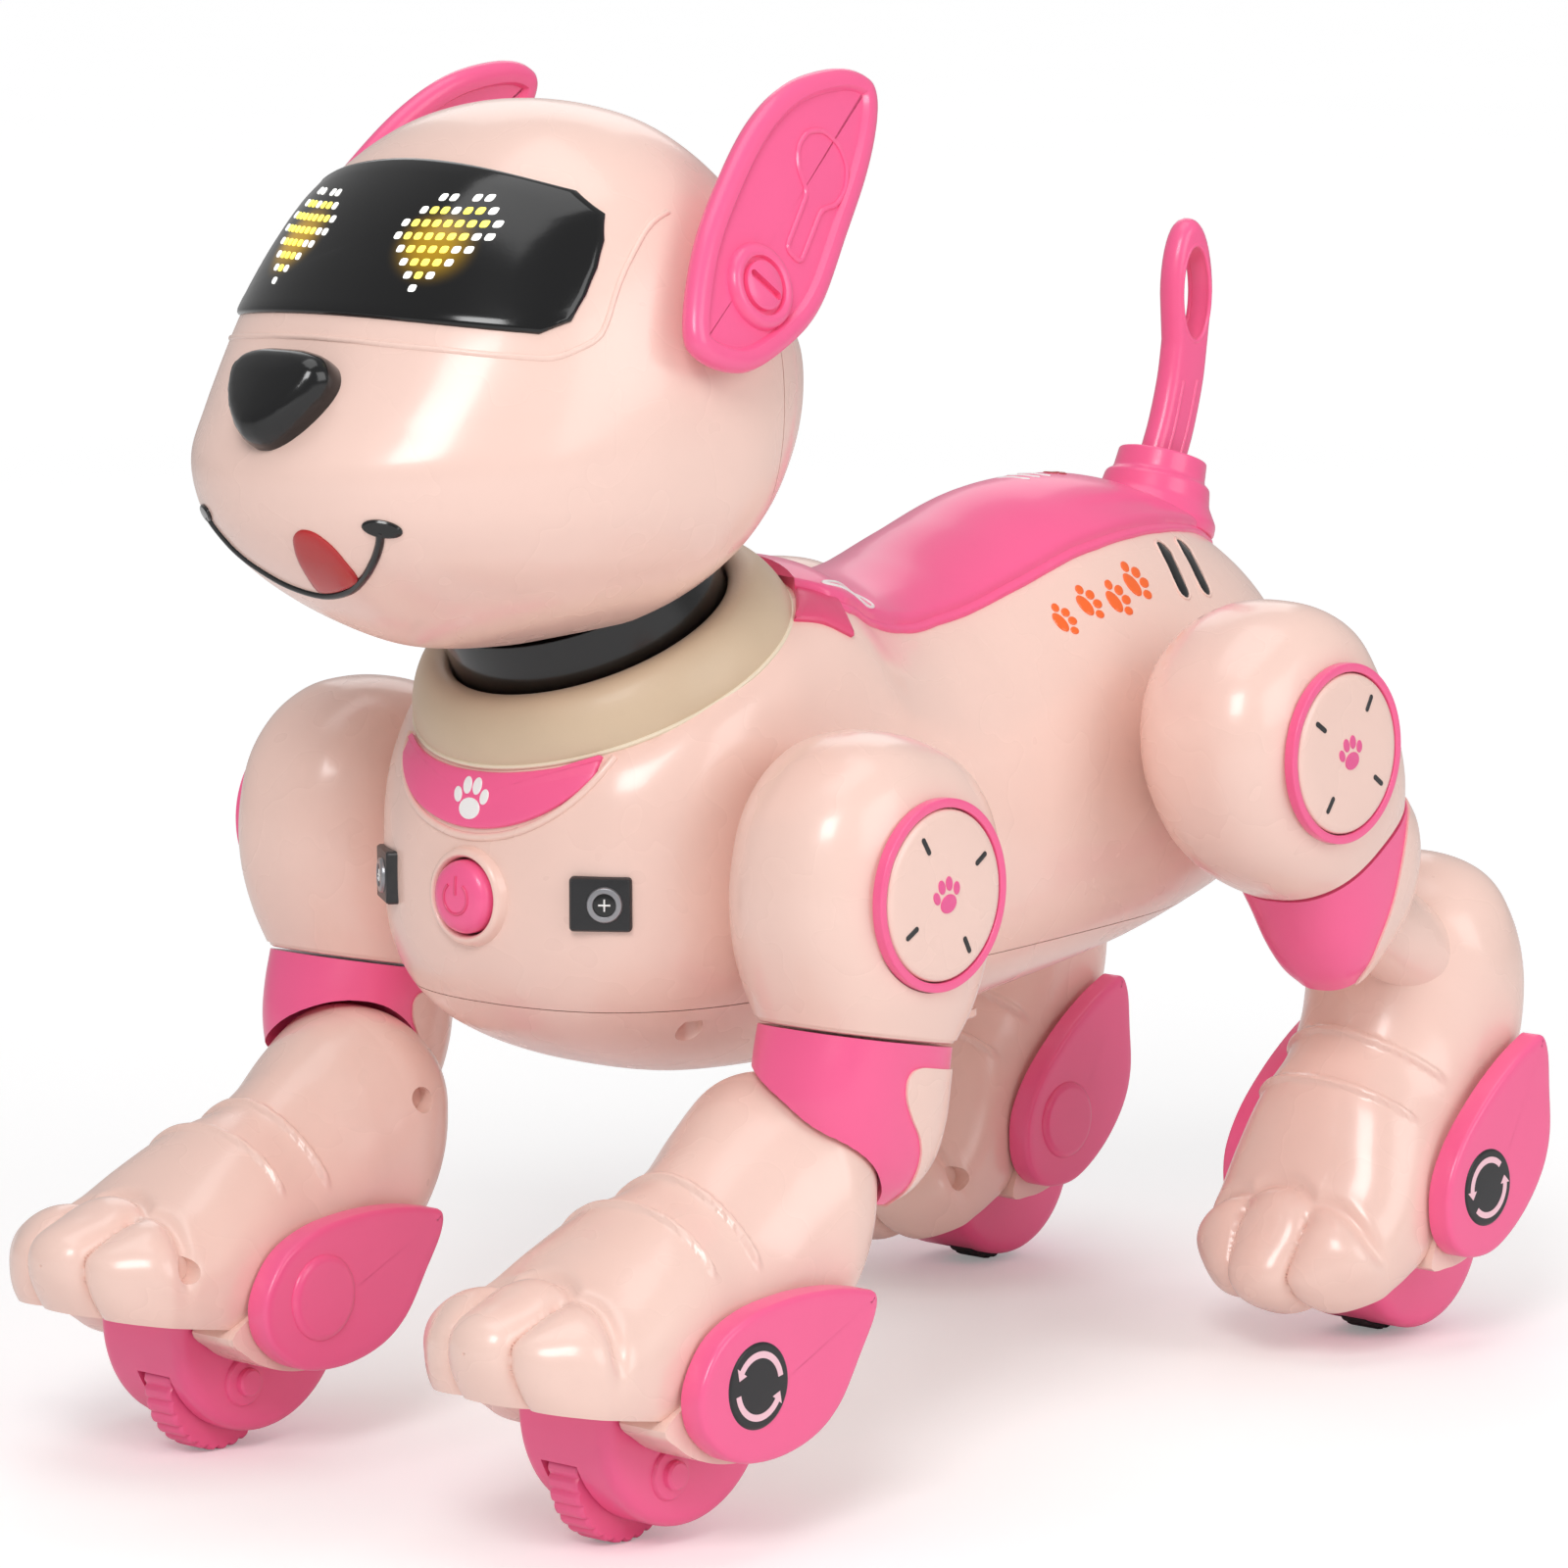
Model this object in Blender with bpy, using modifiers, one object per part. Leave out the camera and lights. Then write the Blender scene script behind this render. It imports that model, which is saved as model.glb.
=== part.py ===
"""Robot dog toy: four jointed legs on rollers, a turning head, hinged ears and a wagging tail.

Metres, +Z up. The dog looks along -Y, its left side is +X, and the rollers stand on Z = 0.
The sizes below are millimetres in the dog's own layout and become metres in the helpers.
"""

from math import cos, pi, radians, sin, sqrt

import bmesh
import bpy
from mathutils import Matrix, Vector

MM = 0.001
MID_Y = 33.2  # the layout's Y that becomes the middle of the model
GAP = 0.35  # clearance between touching pieces
WALL = 2.0  # moulded wall

# Body: (y, half width, top z, bottom z, squareness of the upper half), front to rear, with a pole
# at each end. The shoulders are square so that they meet the collar.
BODY_POWER = 2.5
BODY_NOSE = (-55.0, 107.0)
BODY_STATIONS = [
    (-54.3, 11.0, 120.0, 95.0, 2.2),
    (-51.0, 22.5, 130.5, 86.5, 2.6),
    (-45.5, 31.0, 135.0, 80.5, 3.6),
    (-38.0, 36.5, 139.5, 76.5, 4.6),
    (-28.0, 39.8, 145.0, 72.8, 6.5),
    (-15.0, 41.0, 151.0, 69.8, 6.5),
    (-3.0, 41.0, 157.0, 68.6, 4.5),
    (6.0, 41.0, 160.0, 68.2, 3.6),
    (15.0, 41.0, 161.0, 68.4, 2.9),
    (26.0, 40.8, 157.5, 68.9, 2.3),
    (40.0, 40.6, 154.5, 69.8, 2.0),
    (56.0, 40.2, 156.0, 71.2, 1.9),
    (74.0, 39.8, 161.5, 73.2, 1.85),
    (92.0, 39.4, 167.0, 75.3, 1.85),
    (110.0, 38.6, 168.4, 78.0, 1.85),
    (126.0, 36.8, 166.5, 81.5, 1.85),
    (140.0, 33.6, 162.0, 85.0, 1.9),
    (152.0, 29.0, 155.0, 89.3, 2.0),
    (161.0, 22.5, 146.0, 95.0, 2.2),
    (168.0, 13.0, 134.0, 104.5, 2.3),
]
BODY_TAIL = (171.0, 119.0)
BELLY_SEAM_Z = 86.5
DOOR_SIZE = (33.0, 55.0, 2.0)
DOOR_Y = 42.0
DOOR_Z = 69.6
# (y, half width) of the back cover
COVER_EDGE = [
    (15.0, 30.0), (20.0, 28.0), (28.0, 25.0), (38.0, 22.8), (50.0, 21.5), (62.0, 21.5),
    (74.0, 21.8), (86.0, 22.0), (98.0, 21.8), (110.0, 20.8), (121.0, 19.2), (131.0, 17.0),
    (141.0, 13.8), (149.0, 10.2), (156.0, 5.2),
]

# Head: (z, half width, front y, back y), bottom to top, with a pole at each end
HEAD_POWER = 2.1
HEAD_MID_Y = -40.0
HEAD_CHIN = (-54.0, 151.5)
HEAD_STATIONS = [
    (153.3, 14.0, -71.0, -38.0),
    (157.0, 26.0, -80.0, -30.0),
    (161.0, 34.0, -87.0, -22.5),
    (166.0, 40.5, -94.0, -14.5),
    (172.0, 45.0, -100.5, -6.0),
    (179.0, 48.0, -105.0, 0.5),
    (187.0, 49.2, -106.0, 6.0),
    (195.0, 49.4, -101.5, 9.0),
    (203.0, 48.8, -96.5, 9.2),
    (212.0, 46.8, -91.0, 7.0),
    (221.0, 43.5, -84.5, 3.0),
    (230.0, 38.8, -76.5, -3.0),
    (238.0, 31.5, -67.0, -10.5),
    (244.0, 22.5, -57.5, -19.0),
    (247.5, 11.5, -48.0, -29.0),
]
HEAD_CROWN = (-39.0, 248.6)
HEAD_SPLIT_Y = -22.0
HEAD_SEAM = 0.9

# Neck: base centre of the collar and how far its axis leans forward
NECK_BASE = (0.0, -19.5, 145.5)
NECK_LEAN = 26.0
COLLAR_R = 36.2
COLLAR_H = 9.5
COLLAR_SKIRT_R = 34.0
RING_R = 26.2
RING_BORE = 23.6
RING_TOP = 19.0
HEAD_BORE = 27.2

# Ears
EAR_BOSS = (50.6, -34.9, 216.5)
EAR_LEAN = 15.0
EAR_THICK = 4.6
EAR_HUB_R = 7.5
EAR_AXLE_R = 3.0
EAR_OUTLINE = [
    (32.1, 38.6), (39.7, 37.1), (41.9, 33.5), (40.0, 27.2), (34.6, 18.4), (26.2, 8.0),
    (15.6, -4.4), (5.3, -10.8), (-6.9, -14.7), (-17.0, -12.0), (-19.3, -6.0), (-12.7, 8.1),
    (-2.5, 20.4), (8.1, 30.2), (19.3, 36.3),
]

# Legs: the hip axis runs along X
LEG_MID_X = 61.0
FOOT_MID_X = 53.0
FRONT_HIP = (-18.4, 110.5)
REAR_HIP = (100.1, 123.7)
FRONT_THIGH_TURN = -11.0
REAR_THIGH_TURN = 33.0
FRONT_FOOT = (-37.5, 60.2)
REAR_FOOT = (154.6, 74.5)
FRONT_FOOT_TURN = 0.0
REAR_FOOT_TURN = 37.0
FRONT_KNEE = (-40.0, 59.4)
REAR_KNEE = (154.6, 74.5)
FRONT_KNEE_R = 22.8
REAR_KNEE_R = 25.4
THIGH_INNER_POWER = 2.1
THIGH_POWER = 2.7
# (z, half width, half length, middle y) below and above the hip axis
THIGH_STATIONS = [
    (-26.2, 16.0, 18.0, 3.0),
    (-20.0, 17.8, 21.5, 2.0),
    (-10.0, 18.9, 25.4, 0.6),
    (0.0, 19.0, 26.8, 0.0),
    (10.0, 18.6, 25.6, 0.0),
    (18.0, 16.8, 21.0, 0.0),
    (23.5, 13.0, 15.0, 0.0),
    (26.5, 7.0, 8.0, 0.0),
]
THIGH_TOP_Z = 27.5
THIGH_PLATE = 1.8
DISC_R = 17.2
DISC_CAP_R = 15.0
DISC_FACE_X = 80.2
LINK_STATIONS_FRONT = [
    (-26.7, 15.8, 17.6, 3.0),
    (-33.0, 15.4, 18.4, 3.0),
    (-40.0, 14.8, 18.6, 3.4),
    (-47.0, 13.6, 16.8, 4.0),
    (-52.0, 11.4, 13.0, 4.6),
    (-56.0, 7.0, 8.0, 5.6),
]
LINK_STATIONS_REAR = [
    (-26.7, 15.8, 18.2, 3.4),
    (-33.0, 15.2, 18.6, 3.8),
    (-40.0, 14.2, 17.4, 2.4),
    (-46.0, 12.2, 14.2, -0.2),
    (-51.0, 8.4, 8.6, -4.0),
]

# Foot: (y, half width, top z, bottom z, squareness of the upper half), toes to heel
FOOT_POWER = 2.8
FOOT_TOE = (-73.6, -20.0)
FOOT_STATIONS = [
    (-71.5, 9.0, -15.5, -26.0, 2.1),
    (-67.0, 15.5, -13.5, -32.0, 2.1),
    (-60.0, 20.8, -12.0, -36.5, 2.1),
    (-51.0, 22.4, -9.8, -39.0, 2.1),
    (-42.0, 22.4, -5.0, -41.0, 2.1),
    (-33.0, 21.8, -0.6, -42.0, 2.0),
    (-24.0, 21.0, 2.2, -42.0, 1.75),
    (-15.0, 20.4, 7.4, -40.5, 1.7),
    (-6.0, 20.8, 13.8, -37.0, 1.9),
    (3.0, 22.0, 17.3, -30.0, 2.1),
    (12.0, 20.2, 16.4, -22.0, 2.1),
    (19.0, 15.8, 12.2, -13.0, 2.1),
    (23.4, 9.0, 6.4, -5.0, 2.1),
]
FOOT_HEEL = (25.0, 1.5)
FRONT_HEEL_SCALE = 0.76
SOLE_FRONT = (-73.0, -28.6)
SOLE_REAR = (-33.5, -35.7)
COVER_THICK = 5.2
COVER_IN = 22.8
COVER_OUTLINE = [
    (-43.9, -25.7), (-39.0, -19.7), (-30.5, -16.2), (-19.5, -15.0), (-9.5, -15.4), (-0.9, -17.8),
    (0.1, -21.7), (-3.0, -28.2), (-8.5, -36.2), (-15.5, -40.8), (-25.5, -42.8), (-35.5, -41.6),
    (-42.5, -36.7), (-44.9, -31.2),
]
POD_HALF = 11.0
FRONT_POD = (-29.0, -35.2, 21.6)
REAR_POD = (-34.6, -40.3, 19.8)
FRONT_WHEEL = (-34.5, -46.4, 13.75)
REAR_WHEEL = (-42.14, -49.94, 9.2)
WHEEL_HALF = 3.6
AXLE_R = 1.8
AXLE_HALF = 6.4
WHEEL_GAP = 0.7

# Tail
TAIL_ROOT = (143.0, 163.5)
TAIL_LEAN = 19.0
TAIL_HALF_T = 2.8
TAIL_CENTRE = [
    (0.0, 0.0), (2.6, 8.0), (5.6, 15.0), (8.4, 24.0), (9.8, 32.0),
]
TAIL_LOOP_CENTRE = (10.2, 41.5)
TAIL_W = 5.6
TAIL_LOOP_W = 6.6
TAIL_LOOP_TOP = 15.0
TAIL_HOLE_W = 4.4
TAIL_HOLE_H = 9.6
SOCKET_R = 11.6
SOCKET_BORE = 9.2

COLOURS = {
    "shell": ((0.93, 0.72, 0.64, 1.0), 0.28, 0.0),
    "pink": ((0.92, 0.16, 0.34, 1.0), 0.3, 0.0),
    "black": ((0.01, 0.01, 0.012, 1.0), 0.15, 0.0),
    "sand": ((0.62, 0.48, 0.33, 1.0), 0.5, 0.0),
    "rubber": ((0.03, 0.03, 0.03, 1.0), 0.7, 0.0),
    "board": ((0.02, 0.15, 0.06, 1.0), 0.5, 0.0),
    "cell": ((0.25, 0.26, 0.28, 1.0), 0.5, 0.0),
}


def clear_scene():
    for obj in list(bpy.data.objects):
        bpy.data.objects.remove(obj, do_unlink=True)


def new_collection(name, hidden=False):
    collection = bpy.data.collections.new(name)
    bpy.context.scene.collection.children.link(collection)
    collection.hide_render = hidden
    return collection


def material(name):
    if name in bpy.data.materials:
        return bpy.data.materials[name]
    colour, roughness, metallic = COLOURS[name]
    made = bpy.data.materials.new(name)
    made.use_nodes = True
    shader = made.node_tree.nodes["Principled BSDF"]
    shader.inputs["Base Color"].default_value = colour
    shader.inputs["Roughness"].default_value = roughness
    shader.inputs["Metallic"].default_value = metallic
    return made


def place(x, y, z):
    """A layout point in millimetres as a world point in metres."""
    return Vector((x * MM, (y - MID_Y) * MM, z * MM))


def finish(obj, colour, parent=None):
    obj.data.materials.clear()
    obj.data.materials.append(material(colour))
    if parent:
        obj.parent = parent
    return obj


def add_mesh(name, bm, colour, parent=None, collection=None, smooth=True):
    bmesh.ops.recalc_face_normals(bm, faces=bm.faces[:])
    mesh = bpy.data.meshes.new(name)
    bm.to_mesh(mesh)
    bm.free()
    obj = bpy.data.objects.new(name, mesh)
    (collection or PARTS).objects.link(obj)
    if smooth:
        mesh.shade_smooth()
        mesh.set_sharp_from_angle(angle=radians(40))
    return finish(obj, colour, parent)


def add_empty(name, location, turn_x=0.0, parent=None):
    obj = bpy.data.objects.new(name, None)
    PARTS.objects.link(obj)
    obj.location = location
    obj.rotation_euler = (radians(turn_x), 0.0, 0.0)
    obj.parent = parent
    return obj


def bend(value, power):
    return (1 if value >= 0 else -1) * abs(value) ** (2.0 / power)


def oval(count, power, upper=None):
    """Unit superellipse points, anticlockwise; the half with positive v may have its own power."""
    turns = [2 * pi * (i + 0.5) / count for i in range(count)]
    powers = [power if upper is None or sin(t) < 0 else upper for t in turns]
    return [(bend(cos(t), p), bend(sin(t), p)) for t, p in zip(turns, powers)]


def loft(rings, start=None, end=None):
    """A bmesh through equal rings of points, closed by a pole at either end where one is given."""
    bm = bmesh.new()
    rows = [[bm.verts.new(p) for p in ring] for ring in rings]
    count = len(rings[0])
    for low, high in zip(rows, rows[1:]):
        for i in range(count):
            j = (i + 1) % count
            bm.faces.new((low[i], low[j], high[j], high[i]))
    for pole, row in ((start, rows[0]), (end, rows[-1])):
        if pole is not None:
            tip = bm.verts.new(pole)
            for i in range(count):
                bm.faces.new((row[i], row[(i + 1) % count], tip))
    bmesh.ops.recalc_face_normals(bm, faces=bm.faces[:])
    return bm


def cut_off(bm, point, normal, fill=False):
    """Removes what lies on the normal's side of a plane."""
    geom = bm.verts[:] + bm.edges[:] + bm.faces[:]
    bmesh.ops.bisect_plane(
        bm, geom=geom, dist=1e-7, plane_co=point, plane_no=normal, clear_outer=True
    )
    if fill:
        rim = [e for e in bm.edges if e.is_boundary]
        bmesh.ops.contextual_create(bm, geom=rim)
    return bm


def thicken(obj, wall=WALL, offset=-1.0):
    shell = obj.modifiers.new("wall", "SOLIDIFY")
    shell.thickness = wall * MM
    shell.offset = offset
    shell.use_even_offset = True
    return obj


def join(obj, other, operation):
    step = obj.modifiers.new(operation.lower(), "BOOLEAN")
    step.operation = operation
    step.object = other
    step.solver = "EXACT"
    return obj


def hide_cutter(obj):
    obj.hide_render = True
    obj.display_type = "WIRE"
    return obj


def cylinder(name, radius, depth, segments, centre, along, colour, parent=None, collection=None):
    """A capped cylinder in millimetres about the direction along; centre is a Vector in metres."""
    bm = bmesh.new()
    bmesh.ops.create_cone(
        bm, cap_ends=True, segments=segments, radius1=radius * MM, radius2=radius * MM,
        depth=depth * MM,
    )
    turn = Vector((0, 0, 1)).rotation_difference(Vector(along)).to_matrix().to_4x4()
    bmesh.ops.transform(bm, matrix=Matrix.Translation(centre) @ turn, verts=bm.verts[:])
    return add_mesh(name, bm, colour, parent, collection)


def block(name, size, centre, colour, parent=None, collection=None):
    bm = bmesh.new()
    bmesh.ops.create_cube(bm, size=1.0)
    scale = Matrix.Diagonal((*[s * MM for s in size], 1.0))
    bmesh.ops.transform(bm, matrix=Matrix.Translation(centre) @ scale, verts=bm.verts[:])
    return add_mesh(name, bm, colour, parent, collection, smooth=False)


def turned(name, profile, steps, colour, parent=None):
    """A Screw about local Z of a closed (radius, height) profile that runs down its outer side."""
    bm = bmesh.new()
    verts = [bm.verts.new((r * MM, 0.0, h * MM)) for r, h in profile]
    for a, b in zip(verts, verts[1:] + verts[:1]):
        if a.co.x > 1e-9 or b.co.x > 1e-9:
            bm.edges.new((a, b))
    mesh = bpy.data.meshes.new(name)
    bm.to_mesh(mesh)
    bm.free()
    obj = bpy.data.objects.new(name, mesh)
    PARTS.objects.link(obj)
    turn = obj.modifiers.new("turn", "SCREW")
    turn.steps = turn.render_steps = steps
    turn.use_merge_vertices = True
    turn.merge_threshold = 1e-5
    turn.use_smooth_shade = True
    return finish(obj, colour, parent)


def extruded(name, outline, half, colour, parent=None):
    """A flat outline in the YZ plane with smooth sides, thick along X; a mesh."""
    curve = bpy.data.curves.new(name, "CURVE")
    curve.dimensions = "2D"
    curve.fill_mode = "BOTH"
    curve.extrude = half * MM
    for points in outline:
        line = curve.splines.new("POLY")
        line.points.add(len(points) - 1)
        for slot, (y, z) in zip(line.points, points):
            slot.co = (y * MM, z * MM, 0.0, 1.0)
        line.use_cyclic_u = True
    guide = bpy.data.objects.new(name + "_outline", curve)
    PARTS.objects.link(guide)
    graph = bpy.context.evaluated_depsgraph_get()
    mesh = bpy.data.meshes.new_from_object(guide.evaluated_get(graph))
    bpy.data.objects.remove(guide, do_unlink=True)
    bm = bmesh.new()
    bm.from_mesh(mesh)
    bpy.data.meshes.remove(mesh)
    bmesh.ops.remove_doubles(bm, verts=bm.verts[:], dist=1e-6)
    # local x, y, z of the curve become Y, Z, X of the piece
    swap = Matrix(((0, 0, 1, 0), (1, 0, 0, 0), (0, 1, 0, 0), (0, 0, 0, 1)))
    bmesh.ops.transform(bm, matrix=swap, verts=bm.verts[:])
    return add_mesh(name, bm, colour, parent)


def smooth_loop(points, each):
    """A closed Catmull-Rom line through the points."""
    count = len(points)
    out = []
    for i in range(count):
        p0, p1, p2, p3 = (points[(i + k) % count] for k in (-1, 0, 1, 2))
        for step in range(each):
            t = step / each
            out.append(tuple(
                0.5 * (2 * b + (c - a) * t + (2 * a - 5 * b + 4 * c - d) * t * t
                       + (3 * b - a - 3 * c + d) * t ** 3)
                for a, b, c, d in zip(p0, p1, p2, p3)
            ))
    return out


# ---------------------------------------------------------------- body


def between(stations, place_at):
    """The station's other values at a position, on straight lines between stations."""
    for low, high in zip(stations, stations[1:]):
        if low[0] <= place_at <= high[0]:
            t = (place_at - low[0]) / (high[0] - low[0])
            return [a + (b - a) * t for a, b in zip(low[1:], high[1:])]
    return list(stations[0][1:] if place_at < stations[0][0] else stations[-1][1:])


def body_ring(y, half, top, bottom, upper, count):
    middle, rise = (top + bottom) / 2, (top - bottom) / 2
    return [
        place(half * u, y, middle + rise * v) for u, v in oval(count, BODY_POWER, upper)
    ]


def body_bmesh(count=20):
    rings = [body_ring(*station, count) for station in BODY_STATIONS]
    return loft(rings, place(0, *BODY_NOSE), place(0, *BODY_TAIL))


def body_top(x, y):
    half, top, bottom, power = between(BODY_STATIONS, y)
    middle, rise = (top + bottom) / 2, (top - bottom) / 2
    inside = max(0.0, 1 - min(1.0, abs(x) / half) ** power)
    return middle + rise * inside ** (1 / power)


def body_depth(x, y, z):
    """Above one outside the body, below one inside it."""
    half, top, bottom, upper = between(BODY_STATIONS, y)
    middle, rise = (top + bottom) / 2, (top - bottom) / 2
    power = upper if z > middle else BODY_POWER
    return (abs(x) / half) ** power + (abs(z - middle) / rise) ** power


def chest_point(x, z, lift):
    """The place on the chest in front of (x, z), lifted off the surface."""
    near, far = BODY_STATIONS[0][0], 10.0
    for _ in range(40):
        y = (near + far) / 2
        near, far = (y, far) if body_depth(x, y, z) > 1 else (near, y)
    step = 0.5
    slope = Vector((
        body_depth(x + step, near, z) - body_depth(x - step, near, z),
        body_depth(x, near + step, z) - body_depth(x, near - step, z),
        body_depth(x, near, z + step) - body_depth(x, near, z - step),
    )).normalized()
    return (x + slope.x * lift, near + slope.y * lift, z + slope.z * lift)


def patch(name, rows, colour, wall, parent=None):
    """A sheet through a grid of layout points, thickened on the side its normals face."""
    bm = bmesh.new()
    verts = [[bm.verts.new(place(*p)) for p in row] for row in rows]
    for low, high in zip(verts, verts[1:]):
        for a, b, c, d in zip(low, low[1:], high[1:], high):
            bm.faces.new((a, b, c, d))
    mesh = bpy.data.meshes.new(name)
    bm.to_mesh(mesh)
    bm.free()
    obj = bpy.data.objects.new(name, mesh)
    PARTS.objects.link(obj)
    mesh.shade_smooth()
    finish(obj, colour, parent)
    return thicken(obj, wall, offset=1.0)


def neck_direction():
    return Vector((0, -sin(radians(NECK_LEAN)), cos(radians(NECK_LEAN))))


def make_body():
    base = place(*NECK_BASE)
    axis = neck_direction()
    cuts = [
        ("neck_seat_cutter", COLLAR_R + GAP, 60.0, 36, base + axis * (30.0 - GAP) * MM, axis),
        ("neck_hole_cutter", COLLAR_SKIRT_R + GAP, 70.0, 36, base + axis * 20.0 * MM, axis),
        ("button_cutter", 7.3, 16.0, 24, place(0, BODY_NOSE[0], 106.4), Vector((0, 1, 0))),
    ]
    seam = place(0, 0, BELLY_SEAM_Z)
    upper = cut_off(body_bmesh(), seam + Vector((0, 0, GAP * MM)), (0, 0, -1))
    shell = thicken(add_mesh("body_shell", upper, "shell"))
    for name, radius, depth, segments, centre, along in cuts:
        cutter = cylinder(
            name, radius, depth, segments, centre, along, "shell", collection=CUTTERS
        )
        join(shell, hide_cutter(cutter), "DIFFERENCE")
    lean = radians(TAIL_LEAN)
    tail_hole = hide_cutter(cylinder(
        "tail_seat_cutter", SOCKET_R + 0.5, 36.0, 24, place(0, *TAIL_ROOT),
        Vector((0, sin(lean), cos(lean))), "pink", collection=CUTTERS,
    ))
    join(shell, tail_hole, "DIFFERENCE")
    lower = cut_off(body_bmesh(), seam - Vector((0, 0, GAP * MM)), (0, 0, 1))
    belly = thicken(add_mesh("belly_shell", lower, "shell"))
    wide, long, thick = DOOR_SIZE
    middle = place(0, DOOR_Y, DOOR_Z + thick / 2)
    hatch = block(
        "hatch_cutter", (wide + 2 * GAP, long + 2 * GAP, 20.0), middle, "shell",
        collection=CUTTERS,
    )
    join(belly, hide_cutter(hatch), "DIFFERENCE")
    block("battery_door", DOOR_SIZE, middle, "shell")
    return tail_hole


def make_back_cover(tail_hole):
    rows = []
    for y, half in COVER_EDGE:
        row = []
        bulge = 1.3 * max(0.0, 1 - ((y - 80) / 50) ** 2)
        for i in range(11):
            u = -1 + i / 5
            x = half * sin(u * pi / 2)
            row.append((x, y, body_top(x, y) + 0.75 + bulge * (1 - abs(u) ** 3)))
        rows.append(row)
    cover = patch("back_cover", rows, "pink", 1.6)
    join(cover, tail_hole, "DIFFERENCE")


def make_chest():
    rows = []
    for v in range(6):
        row = []
        for i in range(13):
            x = 23.0 * sin((-1 + i / 6) * pi / 2)
            top = NECK_BASE[2] - 15.96 * sqrt(1 - (x / COLLAR_R) ** 2) - 2.2
            bottom = 136.0 - 17.3 * sqrt(max(0.0, 1 - (x / 25.6) ** 2))
            bottom = min(bottom, top - 0.8)
            z = bottom + (top - bottom) * v / 5
            row.append(chest_point(x, z, 0.5))
        rows.append(row)
    patch("chest_badge", rows, "pink", 1.2)
    button = turned(
        "power_button", [(0.0, 3.0), (5.6, 3.0), (6.7, 2.2), (6.7, -6.0), (0.0, -6.0)], 24, "pink"
    )
    button.location = place(0, BODY_NOSE[0] - 0.4, 106.4)
    button.rotation_euler = (pi / 2, 0, 0)
    for side, word in ((1, "left"), (-1, "right")):
        plate = block("sensor_" + word, (11.0, 2.0, 10.0), Vector((0, 0, 0)), "black")
        x, y, z = chest_point(side * 26.6, 107.0, 1.6)
        plate.location = place(x, y, z)
        plate.rotation_euler = (0, 0, side * radians(34))


def make_neck():
    base = place(*NECK_BASE)
    tilt = (radians(NECK_LEAN), 0, 0)
    collar = turned("collar", [
        (RING_R + GAP, COLLAR_H - 0.8), (RING_R + 1.6, COLLAR_H), (RING_R + 4.0, COLLAR_H - 0.6),
        (33.4, 5.4), (35.7, 2.4), (COLLAR_R, 0.0), (COLLAR_SKIRT_R, 0.0), (COLLAR_SKIRT_R, -3.0),
        (RING_R + GAP, -3.0),
    ], 32, "sand")
    ring = turned("neck_ring", [
        (RING_BORE, RING_TOP), (RING_R, RING_TOP), (RING_R, -6.0), (RING_BORE, -6.0),
    ], 32, "black")
    for obj in (collar, ring):
        obj.location = base
        obj.rotation_euler = tilt


# ---------------------------------------------------------------- head


def head_ring(z, half, front, back, count, grow=0.0):
    out = []
    for u, v in oval(count, HEAD_POWER):
        reach = back - HEAD_MID_Y if v > 0 else HEAD_MID_Y - front
        out.append(place((half + grow) * u, HEAD_MID_Y + (reach + grow) * v, z))
    return out


def head_bmesh(count=24):
    rings = [head_ring(*station, count) for station in HEAD_STATIONS]
    return loft(rings, place(0, *HEAD_CHIN), place(0, *HEAD_CROWN))


def head_front(x, z, grow):
    """Y of the face at a place seen from the front, grown outwards."""
    half, front, _ = between(HEAD_STATIONS, z)
    inside = max(0.0, 1 - min(1.0, abs(x) / (half + grow)) ** HEAD_POWER)
    return HEAD_MID_Y - (HEAD_MID_Y - front + grow) * inside ** (1 / HEAD_POWER)


def ear_matrix(side):
    lean = Matrix.Rotation(side * radians(-EAR_LEAN), 4, "Y")
    return Matrix.Translation(place(side * EAR_BOSS[0], *EAR_BOSS[1:])) @ lean


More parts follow.
